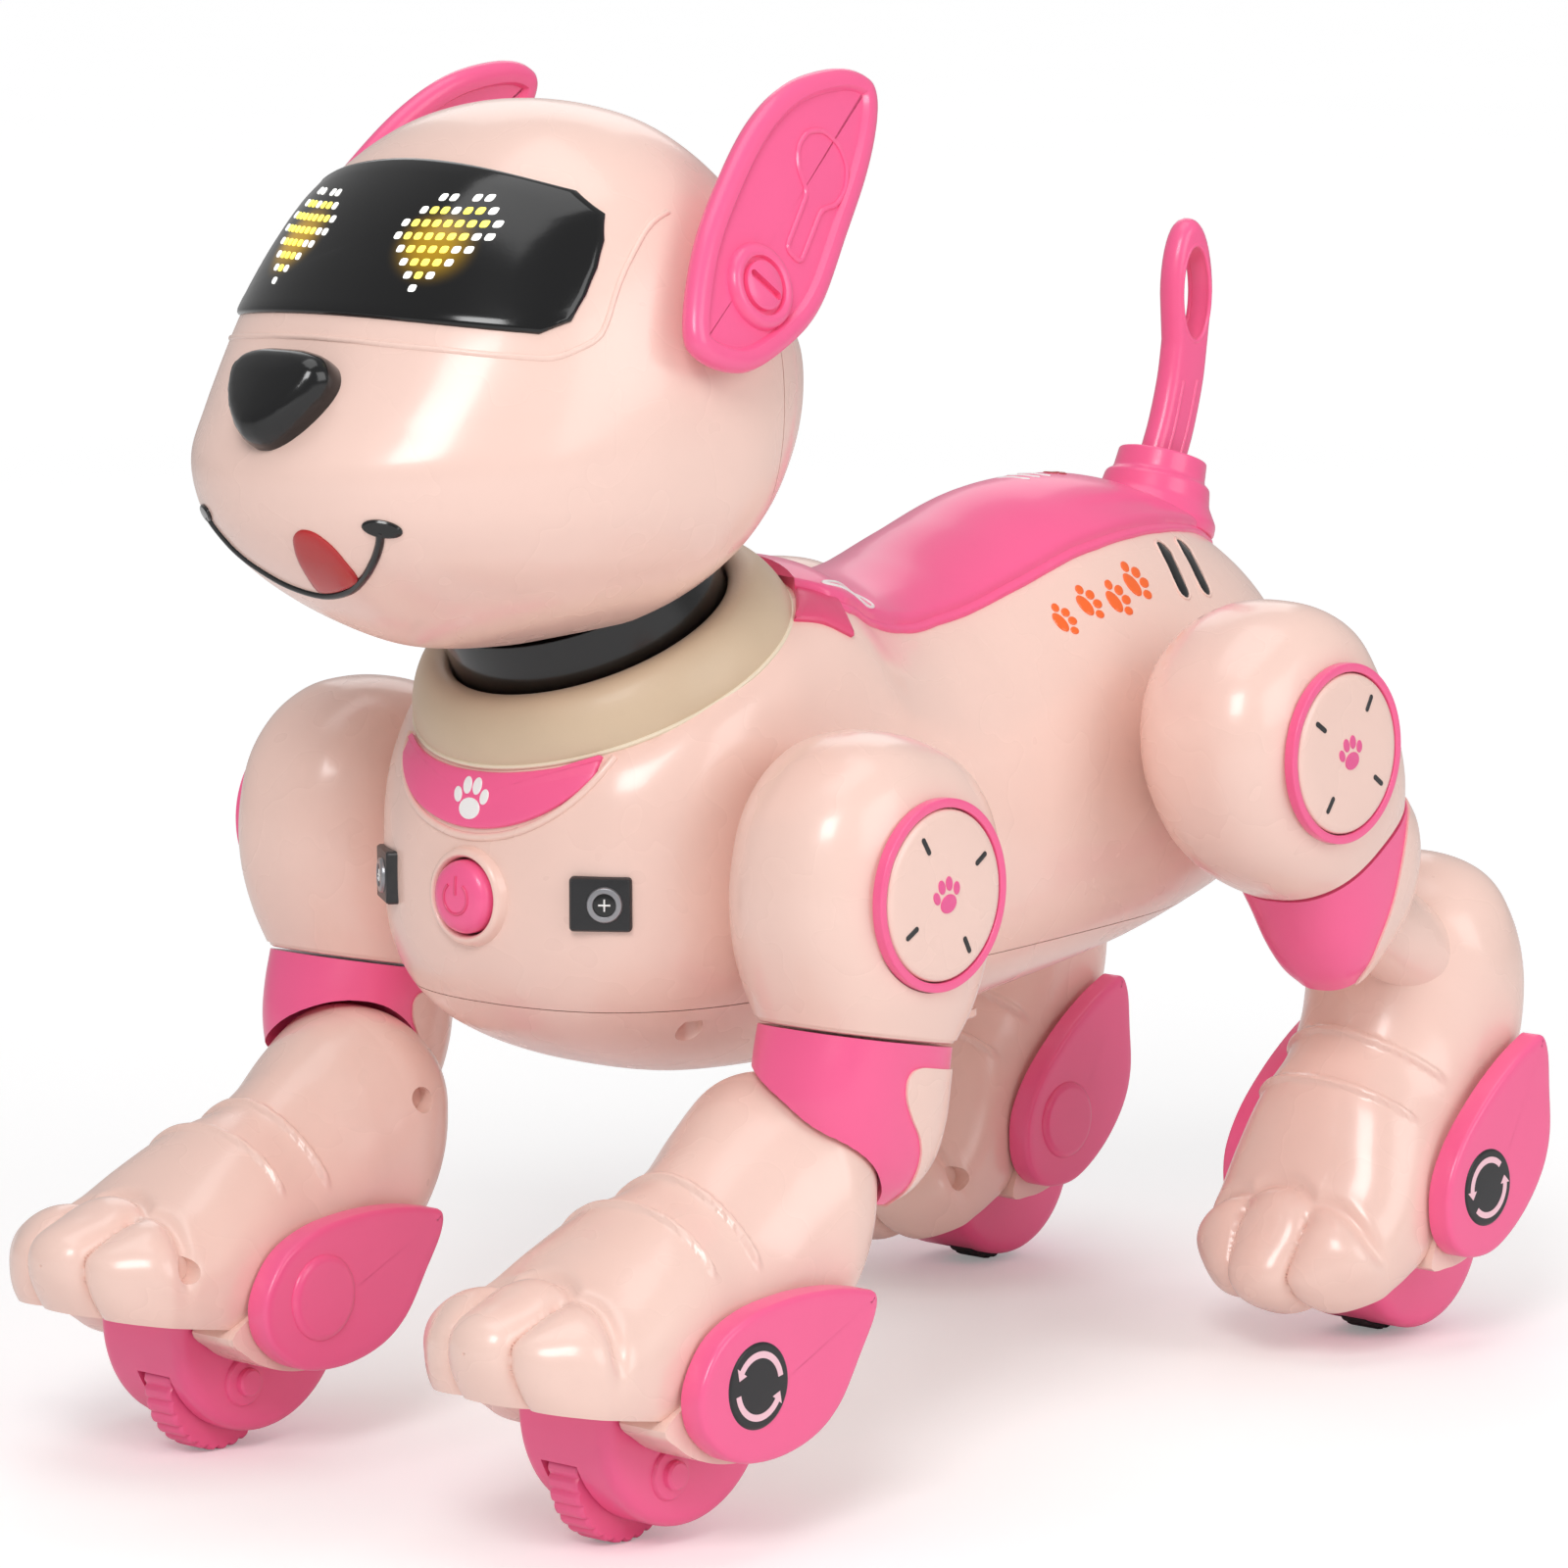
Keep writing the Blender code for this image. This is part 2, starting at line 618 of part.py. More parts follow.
def make_head():
    turn = add_empty("head_turn", place(*NECK_BASE))
    home = turn.location
    cuts = [hide_cutter(cylinder(
        "neck_bore_cutter", HEAD_BORE, 46.0, 32, place(*NECK_BASE) + neck_direction() * 16.0 * MM,
        neck_direction(), "shell", collection=CUTTERS,
    ))]
    for side, word in ((1, "left"), (-1, "right")):
        hole = ear_matrix(side)
        cuts.append(hide_cutter(cylinder(
            "ear_hole_" + word, EAR_AXLE_R + GAP, 20.0, 16,
            hole @ Vector((-side * 6.0 * MM, 0, 0)), hole.to_3x3() @ Vector((1, 0, 0)), "shell",
            collection=CUTTERS,
        )))
    split = place(0, HEAD_SPLIT_Y, 0)
    for name, side in (("head_front", 1), ("head_rear", -1)):
        plane = split - Vector((0, side * HEAD_SEAM / 2 * MM, 0))
        bm = cut_off(head_bmesh(), plane, (0, side, 0))
        bmesh.ops.translate(bm, vec=-home, verts=bm.verts[:])
        half = thicken(add_mesh(name, bm, "shell", turn))
        for cutter in cuts:
            join(half, cutter, "DIFFERENCE")
    visor = []
    for v in range(7):
        row = []
        for i in range(15):
            u = -1 + i / 7
            z_low, z_high = 209.8, 238.3 - 4.6 * u * u
            z = z_low + (z_high - z_low) * v / 6
            x = u * (38.0 - 3.8 * v / 6)
            row.append((x, head_front(x, z, 0.6), z))
        visor.append(row)
    nose = []
    for v in range(7):
        row = []
        for i in range(9):
            u = -1 + i / 4
            z = 190.4 + 15.2 * v / 6
            wide = 14.2 * sqrt(max(0.05, 1 - ((z - 200.5) / 11.0) ** 2)) * (0.62 + 0.06 * v)
            x = wide * u
            row.append((x, head_front(x, z, 0.6), z))
        nose.append(row)
    for name, rows, wall in (("visor", visor, 1.4), ("nose", nose, 4.0)):
        piece = patch(name, rows, "black", wall, turn)
        piece.data.transform(Matrix.Translation(-home))
    for side, word in ((1, "left"), (-1, "right")):
        ear = extruded("ear_" + word, [smooth_loop(EAR_OUTLINE, 2)], EAR_THICK / 2, "pink", turn)
        seat = Matrix.Translation(-home) @ ear_matrix(side)
        ear.matrix_local = seat
        for label, radius, reach in (("hub", EAR_HUB_R, 3.6), ("axle", EAR_AXLE_R, 9.0)):
            stub = cylinder(
                f"ear_{label}_{word}", radius, reach, 20, Vector((-side * reach / 2 * MM, 0, 0)),
                Vector((1, 0, 0)), "pink", turn, CUTTERS,
            )
            stub.matrix_local = seat
            join(ear, hide_cutter(stub), "UNION")


# ---------------------------------------------------------------- legs


def leg_rings(stations, side, count):
    """Level rings about the hip axis, rounder on the side that faces the body."""
    rings = []
    for z, half, length, mid in stations:
        outline = oval(count, THIGH_INNER_POWER, THIGH_POWER)
        rings.append([
            Vector((side * half * v * MM, (mid - side * length * u) * MM, z * MM))
            for u, v in outline
        ])
    return rings


def make_thigh(word, side, hip):
    top = Vector((0, 0, THIGH_TOP_Z * MM))
    outer_x = (DISC_FACE_X - LEG_MID_X) * side
    disc_cutter = hide_cutter(cylinder(
        word + "_disc_cutter", DISC_R + GAP, 6.0, 32, Vector((outer_x * MM, 0, 0)), (1, 0, 0),
        "pink", hip, CUTTERS,
    ))
    plate_in, plate_out = -side * (19.0 - 0.2), -side * (19.0 - 0.2 - THIGH_PLATE)
    shell = loft(leg_rings(THIGH_STATIONS, side, 18), None, top)
    cut_off(shell, Vector(((plate_out + side * GAP) * MM, 0, 0)), (-side, 0, 0))
    obj = thicken(add_mesh(word + "_thigh_shell", shell, "shell", hip))
    join(obj, disc_cutter, "DIFFERENCE")
    profile = [(0.56 * length, 0.9 * z, mid) for z, _, length, mid in THIGH_STATIONS]
    flat = [(mid + length, z) for length, z, mid in profile]
    flat += [(mid - length, z) for length, z, mid in reversed(profile)]
    plate = extruded(word + "_thigh_plate", [flat], THIGH_PLATE / 2, "shell", hip)
    plate.location = ((plate_in + side * THIGH_PLATE / 2) * MM, 0, 0)
    ring = turned(word + "_disc_ring", [
        (DISC_CAP_R + GAP, 0.6), (DISC_R, 0.4), (DISC_R, -1.6), (DISC_CAP_R + GAP, -1.6),
    ], 32, "pink", hip)
    cap = turned(word + "_disc_cap", [
        (0.0, 1.2), (DISC_CAP_R - 1.5, 0.9), (DISC_CAP_R, 0.3), (DISC_CAP_R, -1.6), (0.0, -1.6),
    ], 32, "shell", hip)
    for piece in (ring, cap):
        piece.location = (outer_x * MM, 0, 0)
        piece.rotation_euler = (0, side * pi / 2, 0)


def make_link(word, side, stations, hip, bulb, bulb_r):
    """The calf below the thigh, hollowed where the foot's round top turns against it."""
    rings = leg_rings(stations, side, 16)
    ends = [sum(ring, Vector()) / len(ring) for ring in (rings[0], rings[-1])]
    link = add_mesh(word + "_knee_link", loft(rings, *ends), "pink", hip)
    cutter = hide_cutter(cylinder(
        word + "_knee_cutter", bulb_r, 90.0, 40, bulb, (1, 0, 0), "pink", hip, CUTTERS,
    ))
    join(link, cutter, "DIFFERENCE")


def foot_ring(y, half, top, bottom, upper, count):
    middle, rise = (top + bottom) / 2, (top - bottom) / 2
    return [
        Vector((half * u * MM, y * MM, (middle + rise * v) * MM))
        for u, v in oval(count, FOOT_POWER, upper)
    ]


def make_foot(word, side, foot, heel_scale, pod_at, wheel_at):
    rings = []
    for y, *rest in FOOT_STATIONS:
        rings.append(foot_ring(y * (heel_scale if y > 0 else 1.0), *rest, 16))
    toe = Vector((0, FOOT_TOE[0] * MM, FOOT_TOE[1] * MM))
    heel = Vector((0, FOOT_HEEL[0] * heel_scale * MM, FOOT_HEEL[1] * MM))
    bm = loft(rings, toe, heel)
    run = Vector((0, SOLE_REAR[0] - SOLE_FRONT[0], SOLE_REAR[1] - SOLE_FRONT[1])).normalized()
    down = Vector((0, run.z, -run.y))
    cut_off(bm, Vector((0, SOLE_FRONT[0] * MM, SOLE_FRONT[1] * MM)), down, fill=True)
    shell = thicken(add_mesh(word + "_foot_shell", bm, "shell", foot))
    pod_y, pod_z, pod_r = pod_at
    centre = Vector((0, pod_y * MM, pod_z * MM))
    recess = hide_cutter(cylinder(
        word + "_pod_cutter", pod_r + 0.5, 2 * (POD_HALF + 0.5), 36, centre, (1, 0, 0), "pink",
        foot, CUTTERS,
    ))
    join(shell, recess, "DIFFERENCE")
    outline = smooth_loop(COVER_OUTLINE, 2)
    for sign, which in ((side, "outer"), (-side, "inner")):
        cover = extruded(f"{word}_cover_{which}", [outline], COVER_THICK / 2, "pink", foot)
        cover.location = (sign * (COVER_IN + COVER_THICK / 2) * MM, 0, 0)
    pod = cylinder(
        word + "_wheel_housing", pod_r, 2 * POD_HALF, 36, centre, (1, 0, 0), "pink", foot
    )
    wheel_y, wheel_z, wheel_r = wheel_at
    axis = Vector((-side * 2.0 * MM, wheel_y * MM, wheel_z * MM))
    cuts = (
        ("slot", wheel_r + WHEEL_GAP, 2 * (WHEEL_HALF + WHEEL_GAP), 32),
        ("bearing", AXLE_R + 0.3, 2 * (AXLE_HALF + 0.4), 16),
    )
    for label, radius, depth, segments in cuts:
        cutter = cylinder(
            f"{word}_{label}_cutter", radius, depth, segments, axis, (1, 0, 0), "pink", foot,
            CUTTERS,
        )
        join(pod, hide_cutter(cutter), "DIFFERENCE")
    roller = turned(word + "_wheel", [
        (0.0, AXLE_HALF), (AXLE_R, AXLE_HALF), (AXLE_R, WHEEL_HALF), (wheel_r - 0.6, WHEEL_HALF),
        (wheel_r, WHEEL_HALF - 0.6), (wheel_r, 0.6 - WHEEL_HALF), (wheel_r - 0.6, -WHEEL_HALF),
        (AXLE_R, -WHEEL_HALF), (AXLE_R, -AXLE_HALF), (0.0, -AXLE_HALF),
    ], 28, "pink" if "front" in word else "rubber", foot)
    roller.location = axis
    roller.rotation_euler = (0, pi / 2, 0)


def turn_point(y, z, degrees):
    a = radians(degrees)
    return y * cos(a) - z * sin(a), y * sin(a) + z * cos(a)


def make_leg(word, side, kind):
    hip_at, thigh_turn = kind["hip"], kind["thigh_turn"]
    hip = add_empty(word + "_hip", place(side * LEG_MID_X, *hip_at), thigh_turn)
    foot = add_empty(word + "_knee", place(side * FOOT_MID_X, *kind["foot"]), kind["foot_turn"])
    make_thigh(word, side, hip)
    knee = kind["knee"]
    bulb = turn_point(knee[0] - hip_at[0], knee[1] - hip_at[1], -thigh_turn)
    bulb_at = Vector((0, bulb[0] * MM, bulb[1] * MM))
    make_link(word, side, kind["link"], hip, bulb_at, kind["knee_r"])
    make_foot(word, side, foot, kind["heel"], kind["pod"], kind["wheel"])


LEG_KINDS = {
    "front": {
        "hip": FRONT_HIP, "thigh_turn": FRONT_THIGH_TURN, "foot": FRONT_FOOT,
        "foot_turn": FRONT_FOOT_TURN, "knee": FRONT_KNEE, "knee_r": FRONT_KNEE_R,
        "link": LINK_STATIONS_FRONT, "heel": FRONT_HEEL_SCALE, "pod": FRONT_POD,
        "wheel": FRONT_WHEEL,
    },
    "rear": {
        "hip": REAR_HIP, "thigh_turn": REAR_THIGH_TURN, "foot": REAR_FOOT,
        "foot_turn": REAR_FOOT_TURN, "knee": REAR_KNEE, "knee_r": REAR_KNEE_R,
        "link": LINK_STATIONS_REAR, "heel": 1.0, "pod": REAR_POD, "wheel": REAR_WHEEL,
    },
}


# ---------------------------------------------------------------- tail and inside


def make_tail():
    """A flat tail in the YZ plane that ends in an open loop."""
    sides = []
    for sign in (1, -1):
        line = []
        for (ya, za), (yb, zb) in zip(TAIL_CENTRE, TAIL_CENTRE[1:] + [TAIL_LOOP_CENTRE]):
            along = Vector((yb - ya, zb - za)).normalized()
            line.append((ya + sign * TAIL_W * along.y, za - sign * TAIL_W * along.x))
        sides.append(line)
    loop_y, loop_z = TAIL_LOOP_CENTRE
    cap = [
        (loop_y + TAIL_LOOP_W * cos(radians(a)), loop_z + TAIL_LOOP_TOP * sin(radians(a)))
        for a in range(0, 181, 15)
    ]
    outline = sides[0] + cap + sides[1][::-1]
    hole = [
        (loop_y + TAIL_HOLE_W * cos(radians(a)), loop_z + TAIL_HOLE_H * sin(radians(a)))
        for a in range(0, 360, 20)
    ]
    tail = extruded("tail", [outline, hole], TAIL_HALF_T, "pink")
    tail.location = place(0, *TAIL_ROOT)
    socket = turned("tail_socket", [
        (SOCKET_BORE, 9.0), (SOCKET_R - 1.2, 9.0), (SOCKET_R - 0.8, 4.0), (SOCKET_R, 3.4),
        (SOCKET_R, -5.0), (SOCKET_BORE, -5.0),
    ], 24, "pink")
    socket.location = place(0, *TAIL_ROOT)
    socket.rotation_euler = (-radians(TAIL_LEAN), 0, 0)


def make_inside():
    block("battery_pack", (30.0, 50.0, 15.0), place(0, 42, 84), "cell")
    block("main_board", (52.0, 70.0, 1.6), place(0, 62, 112), "board")


clear_scene()
PARTS = new_collection("robot_dog")
CUTTERS = new_collection("cutters", hidden=True)
make_back_cover(make_body())
make_chest()
make_neck()
make_head()
for end, leg_kind in LEG_KINDS.items():
    make_leg(end + "_left", 1, leg_kind)
    make_leg(end + "_right", -1, leg_kind)
make_tail()
make_inside()
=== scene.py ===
from math import cos, pi, radians, sin, sqrt

import bmesh
import bpy
import numpy as np
from mathutils import Matrix, Vector
from mathutils.bvhtree import BVHTree


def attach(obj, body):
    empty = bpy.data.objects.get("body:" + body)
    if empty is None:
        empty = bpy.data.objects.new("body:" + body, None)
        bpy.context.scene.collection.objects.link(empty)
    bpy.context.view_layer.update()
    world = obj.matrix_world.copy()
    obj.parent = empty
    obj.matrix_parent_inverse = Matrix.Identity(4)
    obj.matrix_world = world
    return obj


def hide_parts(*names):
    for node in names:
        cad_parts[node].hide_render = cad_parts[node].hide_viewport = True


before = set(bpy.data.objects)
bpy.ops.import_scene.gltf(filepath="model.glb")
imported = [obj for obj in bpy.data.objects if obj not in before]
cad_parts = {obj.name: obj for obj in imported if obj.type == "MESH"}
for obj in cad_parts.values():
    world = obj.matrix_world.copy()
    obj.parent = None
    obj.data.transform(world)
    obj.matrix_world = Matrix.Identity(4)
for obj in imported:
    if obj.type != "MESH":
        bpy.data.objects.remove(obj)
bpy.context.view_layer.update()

MM = 0.001
SHARP_DEGREES = 38.0  # edges sharper than this are shaded as edges
MID_Y = 33.2  # the layout's Y that is the middle of the model
X_AXIS, Y_AXIS, Z_AXIS = Vector((1, 0, 0)), Vector((0, 1, 0)), Vector((0, 0, 1))
QUARTER_Y = Matrix.Rotation(pi / 2, 4, "Y")

# ---------------------------------------------------------------- sizes, millimetres

BODY_POWER = 2.5
BODY_NOSE = (-55.0, 107.0)
BODY_STATIONS = [  # y, half width, top z, bottom z, squareness of the upper half
    (-54.3, 11.0, 120.0, 95.0, 2.2), (-51.0, 22.5, 130.5, 86.5, 2.6),
    (-45.5, 31.0, 135.0, 80.5, 3.6), (-38.0, 36.5, 139.5, 76.5, 4.6),
    (-28.0, 39.8, 145.0, 72.8, 6.5), (-15.0, 41.0, 151.0, 69.8, 6.5),
    (-3.0, 41.0, 157.0, 68.6, 4.5), (6.0, 41.0, 160.0, 68.2, 3.6),
    (15.0, 41.0, 161.0, 68.4, 2.9), (26.0, 40.8, 157.5, 68.9, 2.3),
    (40.0, 40.6, 154.5, 69.8, 2.0), (56.0, 40.2, 156.0, 71.2, 1.9),
    (74.0, 39.8, 161.5, 73.2, 1.85), (92.0, 39.4, 167.0, 75.3, 1.85),
    (110.0, 38.6, 168.4, 78.0, 1.85), (126.0, 36.8, 166.5, 81.5, 1.85),
    (140.0, 33.6, 162.0, 85.0, 1.9), (152.0, 29.0, 155.0, 89.3, 2.0),
    (161.0, 22.5, 146.0, 95.0, 2.2), (168.0, 13.0, 134.0, 104.5, 2.3),
]
BODY_TAIL = (171.0, 119.0)
BELLY_SEAM_Z = 86.5
SEAM = 0.16
DOOR_Y = 42.0
COVER_EDGE = [  # y, half width of the back cover
    (4.0, 23.0), (7.5, 26.8), (10.5, 29.4), (15.0, 29.6), (20.0, 28.0), (28.0, 25.0),
    (38.0, 22.8), (50.0, 21.5), (62.0, 21.5), (74.0, 21.8), (86.0, 22.0), (98.0, 21.8),
    (110.0, 20.8), (121.0, 19.2), (131.0, 17.0), (141.0, 13.8), (149.0, 10.2), (156.0, 5.2),
]

HEAD_POWER = 2.1
HEAD_MID_Y = -40.0
HEAD_CHIN = (-54.0, 151.5)
HEAD_STATIONS = [  # z, half width, front y, back y
    (153.3, 14.0, -71.0, -38.0), (157.0, 26.0, -80.0, -30.0), (161.0, 34.0, -87.0, -22.5),
    (166.0, 40.5, -94.0, -14.5), (172.0, 45.0, -100.5, -6.0), (179.0, 48.0, -105.0, 0.5),
    (187.0, 49.2, -106.0, 6.0), (195.0, 49.4, -101.5, 9.0), (203.0, 48.8, -96.5, 9.2),
    (212.0, 46.8, -91.0, 4.6), (221.0, 43.5, -84.5, 3.0), (230.0, 38.8, -76.5, -3.0),
    (238.0, 31.5, -67.0, -10.5), (244.0, 22.5, -57.5, -19.0), (247.5, 11.5, -48.0, -29.0),
]
HEAD_CROWN = (-39.0, 248.6)
HEAD_SPLIT_Y = -22.0

NECK_BASE = (0.0, -19.5, 145.5)
NECK_LEAN = 26.0
COLLAR_R = 36.2

EAR_BOSS = (50.6, -34.9, 216.5)
EAR_LEAN = 15.0
EAR_OUTLINE = [
    (32.1, 38.6), (39.7, 37.1), (41.9, 33.5), (40.0, 27.2), (34.6, 18.4), (26.2, 8.0),
    (15.6, -4.4), (5.3, -10.8), (-6.9, -14.7), (-17.0, -12.0), (-19.3, -6.0), (-12.7, 8.1),
    (-2.5, 20.4), (8.1, 30.2), (19.3, 36.3),
]

LEG_MID_X = 61.0
FOOT_MID_X = 53.0
THIGH_STATIONS = [  # z, half width, half length, middle y
    (-26.2, 16.0, 18.0, 3.0), (-20.0, 17.8, 21.5, 2.0), (-10.0, 18.9, 25.4, 0.6),
    (0.0, 19.0, 26.8, 0.0), (10.0, 18.6, 25.6, 0.0), (18.0, 16.8, 21.0, 0.0),
    (23.5, 13.0, 15.0, 0.0), (26.5, 7.0, 8.0, 0.0),
]
THIGH_TOP_Z = 27.5
DISC_FACE_X = 80.2

FOOT_TOE = (-73.6, -20.0)
FOOT_STATIONS = [  # y, half width, top z, bottom z, squareness of the upper half
    (-71.5, 9.0, -15.5, -26.0, 2.1), (-67.0, 15.5, -13.5, -32.0, 2.1),
    (-60.0, 20.8, -12.0, -36.5, 2.1), (-51.0, 22.4, -9.8, -39.0, 2.1),
    (-42.0, 22.4, -5.0, -41.0, 2.1), (-33.0, 21.8, -0.6, -42.0, 2.0),
    (-24.0, 21.0, 2.2, -42.0, 1.75), (-15.0, 20.4, 7.4, -40.5, 1.7),
    (-6.0, 20.8, 13.8, -37.0, 1.9), (3.0, 22.0, 17.3, -30.0, 2.1),
    (12.0, 20.2, 16.4, -22.0, 2.1), (19.0, 15.8, 12.2, -13.0, 2.1),
    (23.4, 9.0, 6.4, -5.0, 2.1),
]
FOOT_HEEL = (25.0, 1.5)
TOE_HALF = 7.8
SOLE_FRONT = (-73.0, -28.6)
SOLE_REAR = (-33.5, -35.7)
COVER_IN = 22.8
COVER_OUTLINE = [
    (-43.9, -25.7), (-39.0, -19.7), (-30.5, -16.2), (-19.5, -15.0), (-9.5, -15.4),
    (-2.6, -16.6), (1.2, -18.0), (0.8, -22.0), (-3.0, -28.2), (-8.5, -36.2), (-15.5, -40.8),
    (-25.5, -42.8), (-35.5, -41.6), (-42.5, -36.7), (-44.9, -31.2),
]
COVER_BADGE = (-30.5, -28.9)
POD_HALF = 11.0
POD_GAP = 0.5
WHEEL_HALF = 3.6
ARROW_STARTS = (-80.0, 100.0)  # degrees round the badge
AXLE_R = 1.8
AXLE_HALF = 6.4

KINDS = {
    "front": {
        "hip": (-18.4, 110.5), "turn": -11.0, "foot": (-37.5, 60.2), "foot_turn": 0.0,
        "knee": (-40.0, 59.4), "heel": 0.76, "pod": (-29.0, -35.2, 21.6),
        "wheel": (-34.5, -46.4, 13.75), "ticks": 42.0,
        "link": [
            (-26.7, 15.8, 17.6, 3.0), (-33.0, 15.4, 18.4, 3.0), (-40.0, 14.8, 18.6, 3.4),
            (-47.0, 13.6, 16.8, 4.0), (-52.0, 11.4, 13.0, 4.6), (-56.0, 7.0, 8.0, 5.6),
        ],
        "panel": [
            (40.0, -30.6), (4.6, -30.6), (2.2, -31.4), (1.2, -33.2), (1.8, -36.4), (4.6, -40.0),
            (8.0, -43.0), (10.0, -46.4), (11.0, -50.2), (12.0, -64.0), (40.0, -64.0),
        ],
    },
    "rear": {
        "hip": (100.1, 123.7), "turn": 33.0, "foot": (154.6, 74.5), "foot_turn": 37.0,
        "knee": (154.6, 74.5), "heel": 1.0, "pod": (-34.6, -40.3, 19.8),
        "wheel": (-42.14, -49.94, 9.2), "ticks": 24.0,
        "link": [
            (-26.7, 15.8, 18.2, 3.4), (-33.0, 15.2, 18.6, 3.8), (-40.0, 14.2, 17.4, 2.4),
            (-46.0, 12.2, 14.2, -0.2), (-51.0, 8.4, 8.6, -4.0),
        ],
        "panel": [
            (40.0, -27.6), (13.6, -27.6), (9.0, -31.2), (2.7, -37.5), (-4.7, -43.7),
            (-9.1, -49.9), (-12.0, -64.0), (40.0, -64.0),
        ],
    },
}

KNEE_ARM_R = 9.0
KNEE_SWING = (-10, -5, 0, 5, 10)  # degrees
SWING_GAP = 0.55

TAIL_ROOT = (143.0, 163.5)
TAIL_LEAN = 19.0
TAIL_CENTRE = [(0.0, 0.0), (2.6, 8.0), (5.6, 15.0), (8.4, 24.0), (9.8, 32.0)]
TAIL_LOOP_CENTRE = (10.2, 41.5)
TAIL_W = 5.6
TAIL_LOOP_W = 6.6
TAIL_LOOP_TOP = 15.0
TAIL_HOLE_W = 4.4
TAIL_HOLE_H = 9.6

BUTTON_AT = (0.0, -55.4, 106.4)


def at(x, y, z):
    """A layout point in millimetres as a world point in metres."""
    return Vector((x * MM, (y - MID_Y) * MM, z * MM))


# ---------------------------------------------------------------- materials


def node(tree, kind, **values):
    made = tree.nodes.new(kind)
    for key, value in values.items():
        if key in made.inputs:
            made.inputs[key].default_value = value
        else:
            setattr(made, key, value)
    return made


def ramp(tree, source, *limits, **values):
    """A value remapped from one range to another: low, high, new low, new high."""
    made = node(tree, "ShaderNodeMapRange", **values)
    for index, value in enumerate(limits):
        made.inputs[index + 1].default_value = value
    tree.links.new(source, made.inputs[0])
    return made.outputs[0]


def sum_or_product(tree, operation, first, second):
    made = node(tree, "ShaderNodeMath", operation=operation)
    tree.links.new(first, made.inputs[0])
    tree.links.new(second, made.inputs[1])
    return made.outputs[0]


def noise(tree, coords, scale, detail, *limits):
    """Noise remapped to a range; returns the socket."""
    made = node(tree, "ShaderNodeTexNoise", Scale=scale, Detail=detail, Roughness=0.55)
    tree.links.new(coords, made.inputs["Vector"])
    return ramp(tree, made.outputs["Fac"], *limits)


def camera_ray(tree):
    return node(tree, "ShaderNodeLightPath").outputs["Is Camera Ray"]


def blend_colour(tree, factor, first, second):
    mix = node(tree, "ShaderNodeMix", data_type="RGBA")
    tree.links.new(factor, mix.inputs[0])
    for slot, value in ((6, first), (7, second)):
        if isinstance(value, tuple):
            mix.inputs[slot].default_value = value
        else:
            tree.links.new(value, mix.inputs[slot])
    return mix.outputs[2]


def tint(colour, gain):
    return tuple(min(1.0, c * gain) for c in colour) + (1.0,)


def moulded(
    name, colour, rough=0.3, coat=0.3, patch=0.06, grain=0.1, grain_scale=1400.0, wear=0.06,
    glow=0.0, metal=0.0, soft=0.0,
):
    """A moulded finish: cloudy colour, uneven gloss, a fine grain and paler rubbed edges."""
    made = bpy.data.materials.new(name)
    made.use_nodes = True
    tree = made.node_tree
    shader = tree.nodes["Principled BSDF"]
    coords = node(tree, "ShaderNodeTexCoord").outputs["Object"]
    clouds = noise(tree, coords, 28.0, 3.0, 0.3, 0.7, 0.0, 1.0)
    base = blend_colour(tree, clouds, tint(colour, 1 - patch), tint(colour, 1 + patch))
    specks = noise(tree, coords, 520.0, 2.0, 0.6, 0.75, 0.0, 0.1)
    base = blend_colour(tree, specks, base, tint(colour, 0.9))
    pointed = node(tree, "ShaderNodeNewGeometry").outputs["Pointiness"]
    edge = ramp(tree, pointed, 0.53, 0.62, 0.0, wear)
    worn = noise(tree, coords, 160.0, 4.0, 0.35, 0.65, 0.2, 1.0)
    rubbed = sum_or_product(tree, "MULTIPLY", edge, worn)
    pale = tuple(c + (1 - c) * 0.35 for c in colour) + (1.0,)
    base = blend_colour(tree, rubbed, base, pale)
    tree.links.new(base, shader.inputs["Base Color"])
    gloss = noise(tree, coords, 55.0, 2.0, 0.2, 0.8, rough - 0.02, rough + 0.03)
    tree.links.new(gloss, shader.inputs["Roughness"])
    fine = node(tree, "ShaderNodeTexNoise", Scale=grain_scale, Detail=3.0, Roughness=0.6)
    tree.links.new(coords, fine.inputs["Vector"])
    bump = node(tree, "ShaderNodeBump", Strength=grain, Distance=0.00008)
    tree.links.new(fine.outputs["Fac"], bump.inputs["Height"])
    tree.links.new(bump.outputs["Normal"], shader.inputs["Normal"])
    shader.inputs["Coat Weight"].default_value = coat
    shader.inputs["Coat Roughness"].default_value = 0.12
    shader.inputs["Metallic"].default_value = metal
    if soft:
        shader.inputs["Sheen Weight"].default_value = soft
        shader.inputs["Sheen Roughness"].default_value = 0.5
    if glow:
        tree.links.new(base, shader.inputs["Emission Color"])
        shader.inputs["Emission Strength"].default_value = glow
    return made


BLACK = (0.003, 0.003, 0.0035)
GLOW_RANGE = (0.001, 0.0095)  # metres from the middle of an eye
GLOW_STRENGTH = 0.5


